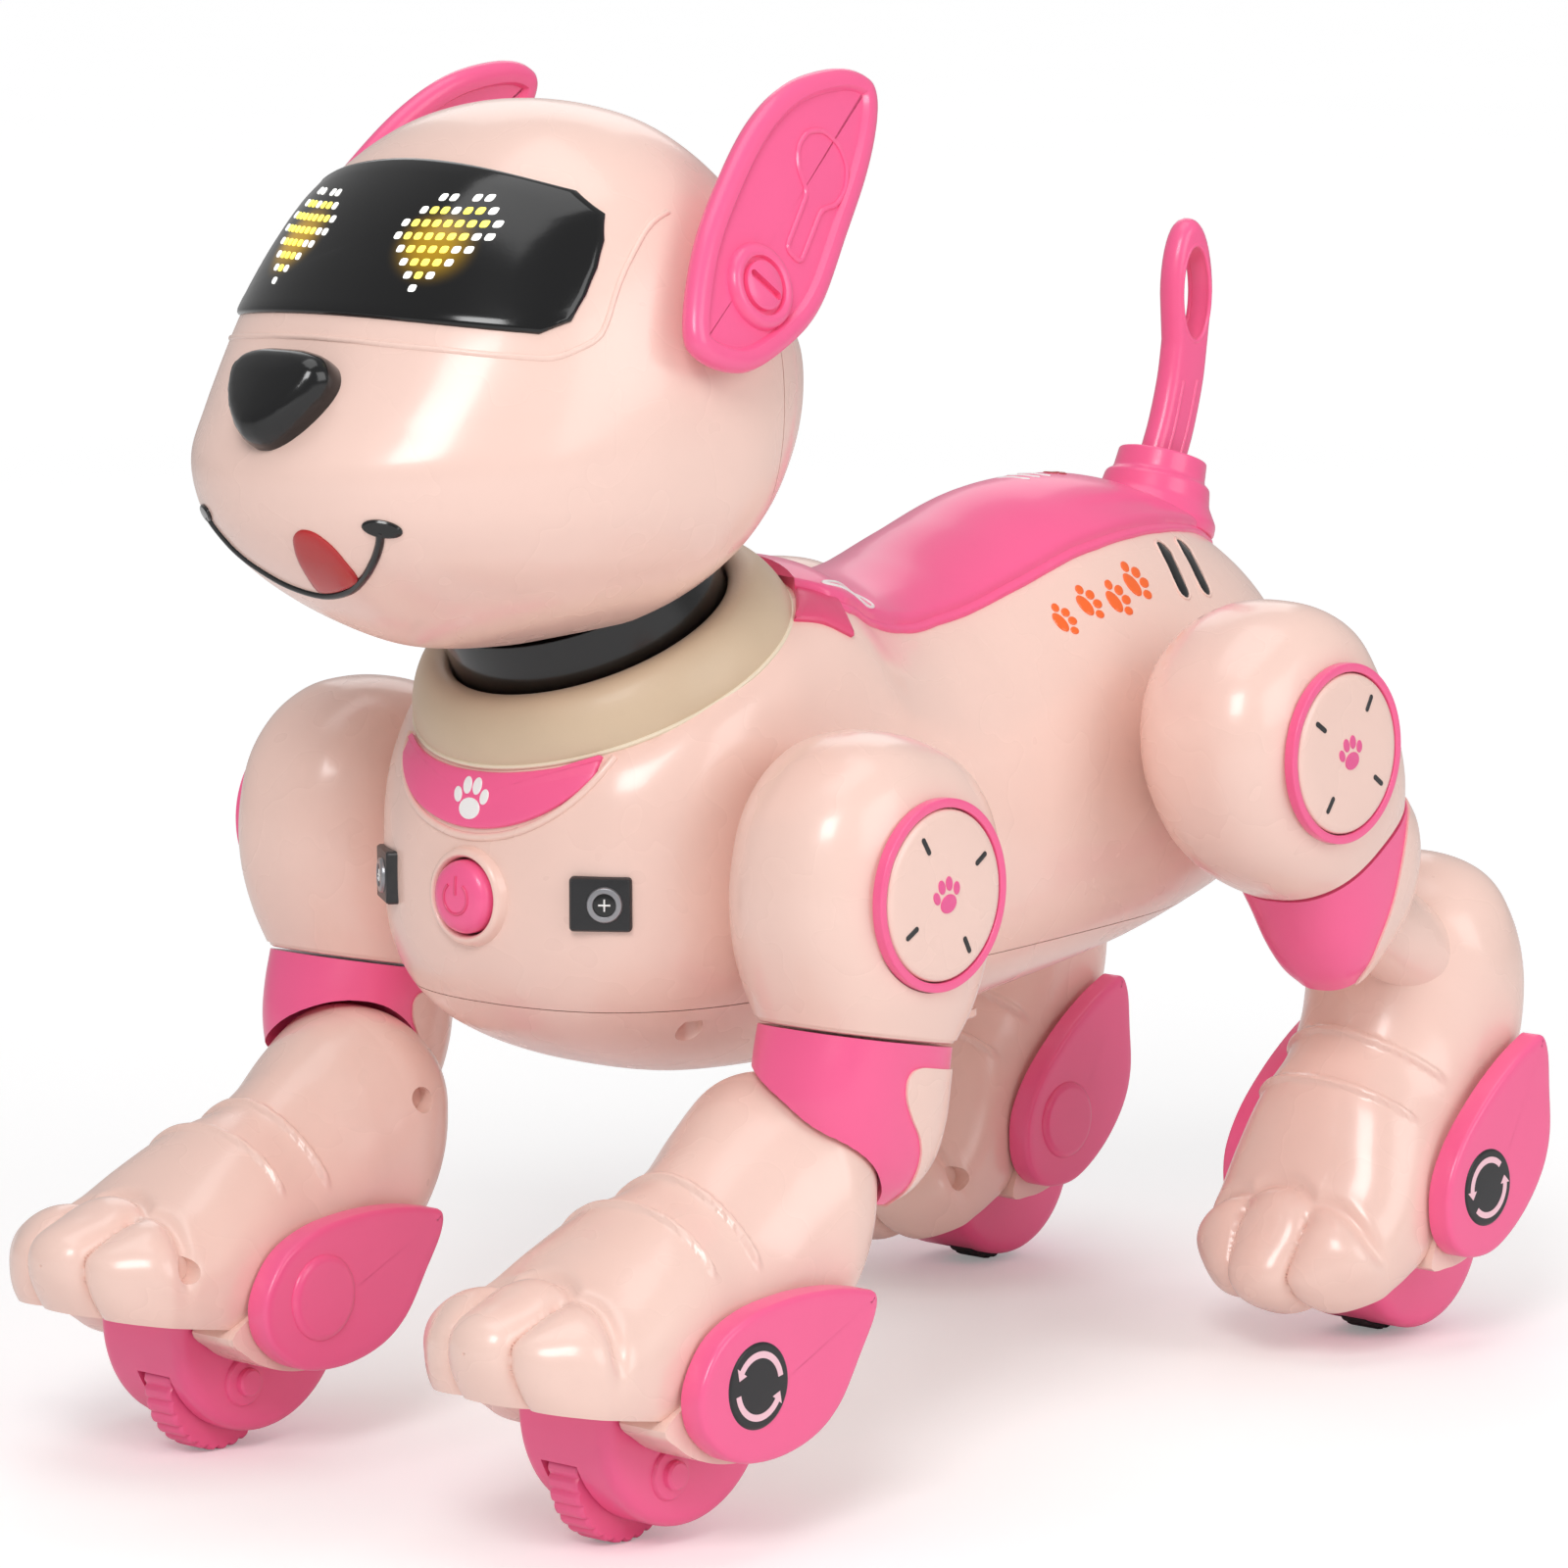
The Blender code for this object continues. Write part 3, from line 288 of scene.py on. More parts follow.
def visor_glass(eyes):
    """Glossy black with a warm glow round each eye."""
    made = moulded("visor_glass", BLACK, rough=0.14, coat=0.15, patch=0.2, wear=0.02)
    tree = made.node_tree
    shader = tree.nodes["Principled BSDF"]
    coords = node(tree, "ShaderNodeTexCoord").outputs["Object"]
    total = None
    for eye in eyes:
        gap = node(tree, "ShaderNodeVectorMath", operation="DISTANCE")
        tree.links.new(coords, gap.inputs[0])
        gap.inputs[1].default_value = eye
        near = ramp(tree, gap.outputs["Value"], *GLOW_RANGE, GLOW_STRENGTH, 0.0,
                    interpolation_type="SMOOTHERSTEP")
        total = near if total is None else sum_or_product(tree, "ADD", total, near)
    glow = blend_colour(tree, total, (0.0, 0.0, 0.0, 1.0), (1.0, 0.56, 0.0, 1.0))
    tree.links.new(glow, shader.inputs["Emission Color"])
    shader.inputs["Emission Strength"].default_value = 1.0
    return made


PALE = (0.93, 0.655, 0.57)
PINK = (0.97, 0.125, 0.315)
EYE_X, EYE_Z = 16.9, 225.0
EYES = [at(side * EYE_X, -80.2, EYE_Z) for side in (1, -1)]
LOOKS = {
    "shell": moulded("pale_shell", PALE, rough=0.27, coat=0.3, patch=0.018),
    "pink": moulded("pink_shell", PINK, rough=0.3, coat=0.25, patch=0.03),
    "deep_pink": moulded("pink_deep", (0.8, 0.075, 0.2), rough=0.36, coat=0.2, patch=0.08),
    "sand": moulded(
        "sand_collar", (0.67, 0.52, 0.36), rough=0.44, coat=0.08, grain=0.35, wear=0.12, soft=0.15
    ),
    "sand_edge": moulded("sand_edge", (0.86, 0.75, 0.58), rough=0.45, coat=0.1, grain=0.3),
    "gloss": moulded("gloss_black", BLACK, rough=0.16, coat=0.25, patch=0.25,
                     grain=0.05, wear=0.06),
    "matt": moulded("matt_black", (0.014, 0.014, 0.016), rough=0.4, coat=0.1, patch=0.25,
                    wear=0.1),
    "rubber": moulded("roller_rubber", (0.026, 0.026, 0.027), rough=0.68, coat=0.0, patch=0.3,
                      grain=0.6, grain_scale=900.0, wear=0.12),
    "visor": visor_glass(EYES),
    "white": moulded("white_print", (0.94, 0.94, 0.93), rough=0.35, coat=0.2, patch=0.03),
    "pale_pink": moulded("pale_pink_print", (0.95, 0.58, 0.66), rough=0.35, coat=0.2),
    "pink_print": moulded("pink_print", (0.83, 0.1, 0.3), rough=0.35, coat=0.2),
    "orange": moulded("orange_print", (0.98, 0.15, 0.02), rough=0.35, coat=0.2),
    "red": moulded("red_inlay", (0.48, 0.008, 0.01), rough=0.28, coat=0.4, patch=0.12),
    "dot_white": moulded("led_white", (0.98, 0.98, 0.95), rough=0.3, patch=0.02, glow=0.75),
    "dot_yellow": moulded("led_yellow", (1.0, 0.83, 0.12), rough=0.3, patch=0.05, glow=1.0),
    "steel": moulded("lens_ring", (0.34, 0.34, 0.36), rough=0.35, coat=0.2, metal=0.7),
    "board": moulded("board_green", (0.02, 0.16, 0.06), rough=0.45, grain=0.4, patch=0.2),
    "cell": moulded("cell_grey", (0.25, 0.26, 0.28), rough=0.5, patch=0.15),
}


# ---------------------------------------------------------------- shapes


def piece(name, bm, look, body, stands_for=()):
    """Turns a bmesh into a piece that rides on a body and stands for some CAD nodes."""
    bmesh.ops.recalc_face_normals(bm, faces=bm.faces[:])
    mesh = bpy.data.meshes.new(name)
    bm.to_mesh(mesh)
    bm.free()
    obj = bpy.data.objects.new(name, mesh)
    bpy.context.scene.collection.objects.link(obj)
    mesh.materials.append(LOOKS[look])
    mesh.shade_smooth()
    mesh.set_sharp_from_angle(angle=radians(SHARP_DEGREES))
    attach(obj, body)
    if stands_for:
        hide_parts(*stands_for)
    return obj


def through(rows, before, after, step):
    """Smooth rows through the given ones, about step apart."""
    p = np.array([before] + [list(r) for r in rows] + [after], float)
    gap = np.linalg.norm(np.diff(p[:, :4], axis=0), axis=1)
    slope = np.diff(p, axis=0) / gap[:, None]
    weight = gap[:-1] + gap[1:]
    m = (slope[:-1] * gap[1:, None] + slope[1:] * gap[:-1, None]) / weight[:, None]
    out = []
    for i in range(len(rows) - 1):
        h = gap[i + 1]
        count = max(2, int(np.ceil(h / step)))
        a, b, ta, tb = p[i + 1], p[i + 2], m[i] * h, m[i + 1] * h
        for k in range(count):
            t = k / count
            out.append(
                a * (1 + 2 * t) * (1 - t) ** 2 + ta * t * (1 - t) ** 2
                + b * t * t * (3 - 2 * t) + tb * t * t * (t - 1)
            )
    out.append(p[-2])
    return np.array(out)


def spans(stations, start, end, step):
    """Dense rows of (place, half, side a, side b, ...) with rounded poles (place, side)."""
    first, last = stations[0], stations[-1]
    rows = [(start[0], 0.0, start[1], start[1], *first[4:])] + list(stations)
    rows.append((end[0], 0.0, end[1], end[1], *last[4:]))
    flip_first = (first[0], -first[1], first[3], first[2], *first[4:])
    flip_last = (last[0], -last[1], last[3], last[2], *last[4:])
    return through(rows, flip_first, flip_last, step)


def ring(half, down, up, lower, upper, count):
    """Evenly spaced points of an oval, from the bottom anticlockwise."""
    t = np.linspace(-pi / 2, pi / 2, 241)
    power = np.where(t < 0, lower, upper)
    u = half * np.abs(np.cos(t)) ** (2 / power)
    v = np.where(t < 0, -down, up) * np.abs(np.sin(t)) ** (2 / power)
    run = np.concatenate([[0], np.cumsum(np.hypot(np.diff(u), np.diff(v)))])
    q = np.linspace(0, run[-1], count // 2 + 1)
    uu, vv = np.interp(q, run, u), np.interp(q, run, v)
    uu[0] = uu[-1] = 0.0
    return np.concatenate([uu, -uu[-2:0:-1]]), np.concatenate([vv, vv[-2:0:-1]])


def skin(rings, start=None, end=None, loop=False):
    """A bmesh over equal rings; a tip closes each end, or loop joins the last ring to the first."""
    points = np.array([[tuple(p) for p in r] for r in rings], float)
    rows, count = points.shape[:2]
    verts = [tuple(p) for p in points.reshape(-1, 3)]
    faces = []
    for r in range(rows if loop else rows - 1):
        low, high = r * count, (r + 1) % rows * count
        for i in range(count):
            j = (i + 1) % count
            faces.append((low + i, low + j, high + j, high + i))
    for tip, base in ((start, 0), (end, (rows - 1) * count)):
        if tip is not None:
            verts.append(tuple(tip))
            top = len(verts) - 1
            faces += [(base + i, base + (i + 1) % count, top) for i in range(count)]
    mesh = bpy.data.meshes.new("skin")
    mesh.from_pydata(verts, [], faces)
    bm = bmesh.new()
    bm.from_mesh(mesh)
    bpy.data.meshes.remove(mesh)
    bmesh.ops.remove_doubles(bm, verts=bm.verts[:], dist=1e-7)
    bmesh.ops.recalc_face_normals(bm, faces=bm.faces[:])
    return bm


def merge(forms):
    """One bmesh of several; the others are freed."""
    whole = bmesh.new()
    for bm in forms:
        mesh = bpy.data.meshes.new("part")
        bm.to_mesh(mesh)
        bm.free()
        whole.from_mesh(mesh)
        bpy.data.meshes.remove(mesh)
    return whole


def cut_off(bm, point, normal):
    """Removes what lies on the normal's side of a plane and closes the cut."""
    geom = bm.verts[:] + bm.edges[:] + bm.faces[:]
    bmesh.ops.bisect_plane(
        bm, geom=geom, dist=1e-7, plane_co=point, plane_no=normal, clear_outer=True
    )
    rim = [e for e in bm.edges if e.is_boundary]
    if rim:
        bmesh.ops.holes_fill(bm, edges=rim, sides=0)
    return bm


def carved(bm, cutters, operation="DIFFERENCE"):
    """The form with each cutter taken off, or kept to, by an exact boolean."""
    temp = []
    for source in [bm] + cutters:
        bmesh.ops.recalc_face_normals(source, faces=source.faces[:])
        mesh = bpy.data.meshes.new("temp")
        source.to_mesh(mesh)
        source.free()
        obj = bpy.data.objects.new("temp", mesh)
        bpy.context.scene.collection.objects.link(obj)
        temp.append(obj)
    for cutter in temp[1:]:
        step = temp[0].modifiers.new("carve", "BOOLEAN")
        step.operation = operation
        step.object = cutter
        step.solver = "EXACT"
    graph = bpy.context.evaluated_depsgraph_get()
    mesh = bpy.data.meshes.new_from_object(temp[0].evaluated_get(graph))
    out = bmesh.new()
    out.from_mesh(mesh)
    bpy.data.meshes.remove(mesh)
    for obj in temp:
        data = obj.data
        bpy.data.objects.remove(obj, do_unlink=True)
        bpy.data.meshes.remove(data)
    return out


def clone(bm):
    return bm.copy()


def shift(bm, matrix):
    bmesh.ops.transform(bm, matrix=matrix, verts=bm.verts[:])
    return bm


def rounded(points, radius, closed=True, steps=5):
    """A flat line with its corners eased."""
    out = []
    count = len(points)
    for i, corner in enumerate(points):
        b = Vector(corner)
        if not closed and i in (0, count - 1):
            out.append(tuple(b))
            continue
        a, c = Vector(points[i - 1]) - b, Vector(points[(i + 1) % count]) - b
        r = min(radius, a.length * 0.48, c.length * 0.48)
        p, q = b + a.normalized() * r, b + c.normalized() * r
        for k in range(steps + 1):
            t = k / steps
            out.append(tuple(p * (1 - t) ** 2 + b * 2 * t * (1 - t) + q * t * t))
    return out


def smooth_line(points, each, closed=True):
    """A Catmull-Rom line through flat or space points."""
    pts = [Vector(p) for p in points]
    if closed:
        ring_pts = pts[-1:] + pts + pts[:2]
    else:
        ring_pts = [pts[0] * 2 - pts[1]] + pts + [pts[-1] * 2 - pts[-2]]
    out = []
    for a, b, c, d in zip(ring_pts, ring_pts[1:], ring_pts[2:], ring_pts[3:]):
        for k in range(each):
            t = k / each
            out.append((
                b * 2 + (c - a) * t + (a * 2 - b * 5 + c * 4 - d) * t * t
                + (b * 3 - a - c * 3 + d) * t ** 3
            ) * 0.5)
    if not closed:
        out.append(pts[-1])
    return out


def turned(profile, count, matrix, loop=False, ripple=None):
    """A form turned about local Z of matrix from (radius, height) points in millimetres."""
    tips = [None, None]
    body = list(profile)
    if not loop:
        if abs(body[0][0]) < 1e-6:
            tips[0] = Vector((0, 0, body.pop(0)[1] * MM))
        if abs(body[-1][0]) < 1e-6:
            tips[1] = Vector((0, 0, body.pop()[1] * MM))
    rings = []
    for r, h in body:
        row = []
        for i in range(count):
            a = 2 * pi * i / count
            rr = r if ripple is None else ripple(r, i)
            row.append((rr * cos(a) * MM, rr * sin(a) * MM, h * MM))
        rings.append(row)
    return shift(skin(rings, tips[0], tips[1], loop), matrix)


def aimed(centre, along):
    """A matrix at centre whose Z runs along a direction."""
    turn = Z_AXIS.rotation_difference(Vector(along)).to_matrix().to_4x4()
    return Matrix.Translation(centre) @ turn


def rod(centre, along, radius, length, count=48):
    half = length / 2
    profile = [(0.0, half), (radius, half), (radius, -half), (0.0, -half)]
    return turned(profile, count, aimed(centre, along))


def inset(outline, amount):
    """Moves a closed flat outline inwards along its normals."""
    pts = [Vector(p) for p in outline]
    area = sum(a.x * b.y - b.x * a.y for a, b in zip(pts, pts[1:] + pts[:1]))
    sign = 1 if area > 0 else -1
    out = []
    for i, p in enumerate(pts):
        run = pts[(i + 1) % len(pts)] - pts[i - 1]
        if run.length < 1e-9:
            out.append(p)
            continue
        normal = Vector((-run.y, run.x)).normalized() * sign
        out.append(p + normal * amount)
    return out


def raised(outline, onto, levels, floors=3, dome=0.0, centre=None):
    """A low form on a surface: rings of (inset, lift) from its foot, then a floor to its middle."""
    pts = [Vector(p) for p in outline]
    middle = Vector(centre) if centre else sum(pts, Vector((0, 0))) / len(pts)
    rings = []
    for amount, lift in levels:
        rings.append([onto(p.x, p.y, lift) for p in inset(pts, amount)])
    edge = inset(pts, levels[-1][0])
    top = levels[-1][1]
    for k in range(1, floors):
        s = 1 - k / floors
        lift = top + dome * (1 - s * s)
        rings.append([onto(*(middle + (p - middle) * s), lift) for p in edge])
    return skin(rings, onto(*middle, levels[0][1]), onto(*middle, top + dome))


def tube(path, radius, closed=False, sides=10):
    """A round bead along a path of space points, radius in millimetres."""
    pts = [Vector(p) for p in path]
    count = len(pts)
    rings = []
    side = None
    for i, p in enumerate(pts):
        if closed:
            run = pts[(i + 1) % count] - pts[i - 1]
        else:
            run = pts[min(i + 1, count - 1)] - pts[max(i - 1, 0)]
        run.normalize()
        if side is None:
            side = run.orthogonal().normalized()
        side = (side - run * side.dot(run)).normalized()
        other = run.cross(side)
        rings.append([
            p + (side * cos(2 * pi * k / sides) + other * sin(2 * pi * k / sides)) * radius * MM
            for k in range(sides)
        ])
    if closed:
        return skin(rings, loop=True)
    return skin(rings, pts[0], pts[-1])


def facing(bm, start, direction):
    """A map from two numbers and a lift to a place on a form, seen along a direction."""
    tree = BVHTree.FromBMesh(bm)
    look = Vector(direction)

    def onto(a, b, lift):
        begin = start(a, b)
        hit, normal, _, _ = tree.ray_cast(begin, look)
        if hit is None:
            hit, normal, _, _ = tree.find_nearest(begin + look * 0.3)
        if normal.dot(look) > 0:
            normal = -normal
        return hit + normal * lift * MM

    return onto


def flat_map(matrix):
    """A map onto the plane through a matrix: its X and Z, lifted along -Y."""
    return lambda a, b, lift: matrix @ (Vector((a, -lift, b)) * MM)


def ellipse(cx, cy, rx, ry, count=24, turn=0.0):
    out = []
    for i in range(count):
        a = 2 * pi * i / count
        x, y = rx * cos(a), ry * sin(a)
        out.append((cx + x * cos(turn) - y * sin(turn), cy + x * sin(turn) + y * cos(turn)))
    return out


def capsule(ax, ay, bx, by, radius, steps=7):
    """The outline of a slot from one point to another."""
    a, b = Vector((ax, ay)), Vector((bx, by))
    run = (b - a).normalized()
    start = np.arctan2(run.y, run.x) + pi / 2
    out = []
    for centre, begin in ((a, start), (b, start + pi)):
        for k in range(steps + 1):
            t = begin + pi * k / steps
            out.append((centre.x + radius * cos(t), centre.y + radius * sin(t)))
    return out


PRINT = [(0.0, -0.3), (0.0, 0.1), (0.12, 0.2)]


def paw(onto, cx, cy, size, turn=0.0):
    """A plain paw print: one pad and four toes."""
    c, s = cos(turn), sin(turn)
    forms = []
    pads = [(0.0, -0.75, 1.45, 1.1), (-1.85, 0.55, 0.56, 0.8), (-0.68, 1.55, 0.6, 0.88),
            (0.68, 1.55, 0.6, 0.88), (1.85, 0.55, 0.56, 0.8)]
    for x, y, rx, ry in pads:
        px, py = cx + (x * c - y * s) * size, cy + (x * s + y * c) * size
        outline = ellipse(px, py, rx * size, ry * size, 22, turn - 0.12 * x)
        forms.append(raised(outline, onto, PRINT, 2))
    return merge(forms)


# ---------------------------------------------------------------- body


def neck_axis():
    lean = radians(NECK_LEAN)
    return Vector((0, -sin(lean), cos(lean)))


def neck_matrix():
    return Matrix.Translation(at(*NECK_BASE)) @ Matrix.Rotation(radians(NECK_LEAN), 4, "X")


def body_form():
    rings = []
    for y, half, top, bottom, upper in spans(BODY_STATIONS, BODY_NOSE, BODY_TAIL, 1.3)[1:-1]:
        middle, rise = (top + bottom) / 2, (top - bottom) / 2
        u, v = ring(half, rise, rise, BODY_POWER, upper, 132)
        rings.append([at(a, y, middle + b) for a, b in zip(u, v)])
    return skin(rings, at(0, *BODY_NOSE), at(0, *BODY_TAIL))


BODY = body_form()
ON_CHEST = facing(BODY, lambda a, b: at(a, -300, b), Y_AXIS)
ON_BACK = facing(BODY, lambda a, b: at(a, b, 400), -Z_AXIS)
ON_SIDE = {
    side: facing(BODY, lambda a, b, side=side: at(side * 300, a, b), -X_AXIS * side)
    for side in (1, -1)
}
BACK_SLOTS = [(117.2, 157.1, 115.1, 150.2), (125.2, 156.9, 123.1, 150.0)]
BACK_SLOT_R = 1.7


def slot_cutter(side, y0, z0, y1, z1):
    onto = ON_SIDE[side]
    outline = capsule(y0, z0, y1, z1, BACK_SLOT_R)
    return raised(outline, onto, [(0.0, -1.6), (0.0, 3.0)], 2)


def make_body():
    base, axis = at(*NECK_BASE), neck_axis()
    lean = radians(TAIL_LEAN)
    cutters = [
        rod(base + axis * 29.7 * MM, axis, COLLAR_R + 0.3, 60.0, 96),
        rod(base + axis * 20.0 * MM, axis, 34.35, 70.0, 96),
        rod(at(0, -53.0, BUTTON_AT[2]), Y_AXIS, 7.2, 16.0, 64),
        rod(at(0, *TAIL_ROOT), (0, sin(lean), cos(lean)), 12.1, 36.0, 64),
    ]
    cutters += [slot_cutter(side, *slot) for side in (1, -1) for slot in BACK_SLOTS]
    upper = cut_off(clone(BODY), at(0, 0, BELLY_SEAM_Z + SEAM / 2), (0, 0, -1))
    piece("body_upper", carved(upper, cutters), "shell", "body", ("body_shell",))
    lower = cut_off(clone(BODY), at(0, 0, BELLY_SEAM_Z - SEAM / 2), (0, 0, 1))
    door = rounded([(-16.85, -27.85), (16.85, -27.85), (16.85, 27.85), (-16.85, 27.85)], 3.0)

    def under(a, b, lift):
        return at(a, DOOR_Y + b, 71.9 - lift)

    holes = [raised(door, under, [(0.0, 0.0), (0.0, 12.0)], 2)]
    for x, y in ((30.0, -29.4), (-30.0, -29.4), (29.0, 118.0), (-29.0, 118.0)):
        holes.append(rod(at(x, y, 72.0), Z_AXIS, 2.5, 24.0, 32))
    piece("body_lower", carved(lower, holes), "shell", "body", ("belly_shell",))
    panel = [(0.0, 0.0), (0.0, 1.3), (0.5, 1.8), (1.2, 2.0)]
    door_in = rounded([(-16.5, -27.5), (16.5, -27.5), (16.5, 27.5), (-16.5, 27.5)], 2.8)
    forms = [raised(door_in, lambda a, b, lift: at(a, DOOR_Y + b, 71.6 - lift), panel, 3)]
    for k in range(5):
        y = 60.0 + 1.8 * k
        grip = [at(-9, y, 69.65), at(-4, y, 69.6), at(4, y, 69.6), at(9, y, 69.65)]
        forms.append(tube(grip, 0.4))
    piece("belly_door", merge(forms), "shell", "body", ("battery_door",))


def make_slots():
    for side, word in ((1, "left"), (-1, "right")):
        onto = ON_SIDE[side]
        fill, rims = [], []
        for slot in BACK_SLOTS:
            # painted shade: a glossy black fill in each slot stands for the shade inside the
            # opening
            outline = capsule(*slot, BACK_SLOT_R - 0.06)
            fill.append(raised(outline, onto, [(0.0, -1.7), (0.0, -0.05), (0.3, 0.1)], 2))
            edge = capsule(*slot, BACK_SLOT_R + 0.25)
            rims.append(tube([onto(y, z, 0.0) for y, z in edge], 0.28, closed=True, sides=8))
        piece(f"slot_shade_fill_{word}", merge(fill), "gloss", "body")
        piece(f"slot_rims_{word}", merge(rims), "shell", "body")
        prints = []
        trail = [(78.5, 147.0, 1.2), (86.4, 149.6, 1.3), (94.2, 149.8, 1.4), (101.6, 152.4, 1.5)]
        for y, z, size in trail:
            prints.append(paw(onto, y, z, size, side * -1.25))
        piece(f"paw_trail_{word}", merge(prints), "orange", "body")


def edge_half(y):
    ys, halves = zip(*COVER_EDGE)
    return float(np.interp(y, ys, halves))


def collar_back(x):
    return NECK_BASE[1] + sqrt(max(0.0, 36.9 ** 2 - x * x)) * cos(radians(NECK_LEAN)) + 0.2


def cover_lift(x, y):
    """Height of the cover's outer face over the body."""
    half = edge_half(y)
    far = max(0.0, half - abs(x))
    lip = min(1.0, far / 0.5)
    step = min(1.0, max(0.0, (far - 1.4) / 1.5))
    bulge = 1.3 * max(0.0, 1 - ((y - 80) / 50) ** 2) * (1 - (abs(x) / half) ** 3)
    return 0.85 * sqrt(1 - (1 - lip) ** 2) + 1.45 * sqrt(1 - (1 - step) ** 2) + bulge


def make_back_cover():
    ys = np.concatenate([np.linspace(4.0, 24.0, 30), np.linspace(25.0, 154.0, 120),
                         [154.8, 155.5, 156.0]])
    across = 73
    upper, lower = [], []
    for y in ys:
        smooth_half = edge_half(y)
        top_row, low_row = [], []
        for i in range(across):
            u = -1 + 2 * i / (across - 1)
            x = smooth_half * sin(u * pi / 2)
            yy = max(y, collar_back(x))
            end = min(1.0, (156.0 - yy) / 1.6)
            ease = sqrt(max(0.0, 1 - (1 - end) ** 2))
            top_row.append(ON_BACK(x, yy, 0.05 + cover_lift(x, yy) * ease))
            low_row.append(ON_BACK(x, yy, -0.6))
        upper.append(top_row)
        lower.append(low_row)
    rings = [top + low[::-1] for top, low in zip(upper, lower)]
    bm = skin(rings)
    rim = [e for e in bm.edges if e.is_boundary]
    bmesh.ops.holes_fill(bm, edges=rim, sides=0)
    lean = radians(TAIL_LEAN)
    hole = rod(at(0, *TAIL_ROOT), (0, sin(lean), cos(lean)), 12.1, 36.0, 64)
    cover = carved(bm, [hole])
    global ON_COVER
    ON_COVER = facing(cover, lambda a, b: at(a, b, 400), -Z_AXIS)
    piece("back_panel", cover, "pink", "body", ("back_cover",))
    for side, word in ((1, "left"), (-1, "right")):
        strap = [(31.2, -2.4), (32.9, 3.2), (34.8, 10.0), (31.0, 11.6), (28.6, 13.0), (24.0, 14.0),
                 (19.5, 13.0), (18.6, 10.2), (22.0, 7.6), (26.0, 4.2), (29.2, 0.6)]
        strap = [(side * x, y) for x, y in rounded(strap, 0.7)]
        form = raised(strap, ON_BACK, [(0.0, -0.5), (0.0, 0.7), (0.35, 1.15), (0.9, 1.25)], 4,
                      centre=(side * 27.0, 8.0))
        piece(f"cover_strap_{word}", form, "deep_pink", "body")
        drop = [(26.3, 11.4), (25.2, 16.0), (22.6, 23.0), (20.4, 28.0), (20.6, 30.6),
                (22.6, 30.0), (25.2, 24.6), (26.6, 18.0), (26.9, 13.0)]
        line = smooth_line([(side * x, y) for x, y in drop], 5)
        path = [ON_COVER(p.x, p.y, 0.0) for p in line]
        piece(f"drop_line_{word}", tube(path, 0.34, closed=True, sides=8), "white", "body")
    strokes = []
    for y in (98.4, 101.6, 104.8):
        outline = capsule(-3.2, y - 0.5, 3.4, y + 0.5, 0.42, 5)
        strokes.append(raised(outline, ON_COVER, PRINT, 1))
    piece("back_strokes", merge(strokes), "white", "body")
    piece("back_paw", paw(ON_COVER, 0.4, 110.4, 1.1), "red", "body")


def make_neck():
    outer = [(26.55, 7.9), (26.8, 9.3), (28.0, 10.2), (30.0, 10.3), (32.0, 9.3), (33.9, 7.0),
             (35.3, 4.2), (36.1, 1.6), (36.2, 0.15), (35.9, -0.15)]
    smooth = [tuple(p) for p in smooth_line(outer, 4, closed=False)]
    profile = smooth + [(34.0, -0.15), (34.0, -3.0), (26.55, -3.0)]
    piece("collar_soft", turned(profile, 144, neck_matrix(), loop=True), "sand", "body",
          ("collar",))
    edge = [neck_matrix() @ (Vector((36.15 * cos(a), 36.15 * sin(a), 0.05)) * MM)
            for a in np.linspace(0, 2 * pi, 145)[:-1]]
    piece("collar_edge", tube(edge, 0.5, closed=True, sides=8), "sand_edge", "body")
    tube_profile = rounded([(23.6, 19.0), (26.2, 19.0), (26.2, -6.0), (23.6, -6.0)], 0.5)
    piece("neck_tube", turned(tube_profile, 144, neck_matrix(), loop=True), "gloss", "body",
          ("neck_ring",))


def badge_low(x):
    top = badge_top(x)
    return min(136.0 - 17.3 * sqrt(max(0.0, 1 - (x / 25.6) ** 2)), top - 0.8)


def badge_top(x):
    return NECK_BASE[2] - 15.96 * sqrt(1 - (x / COLLAR_R) ** 2) - 0.9


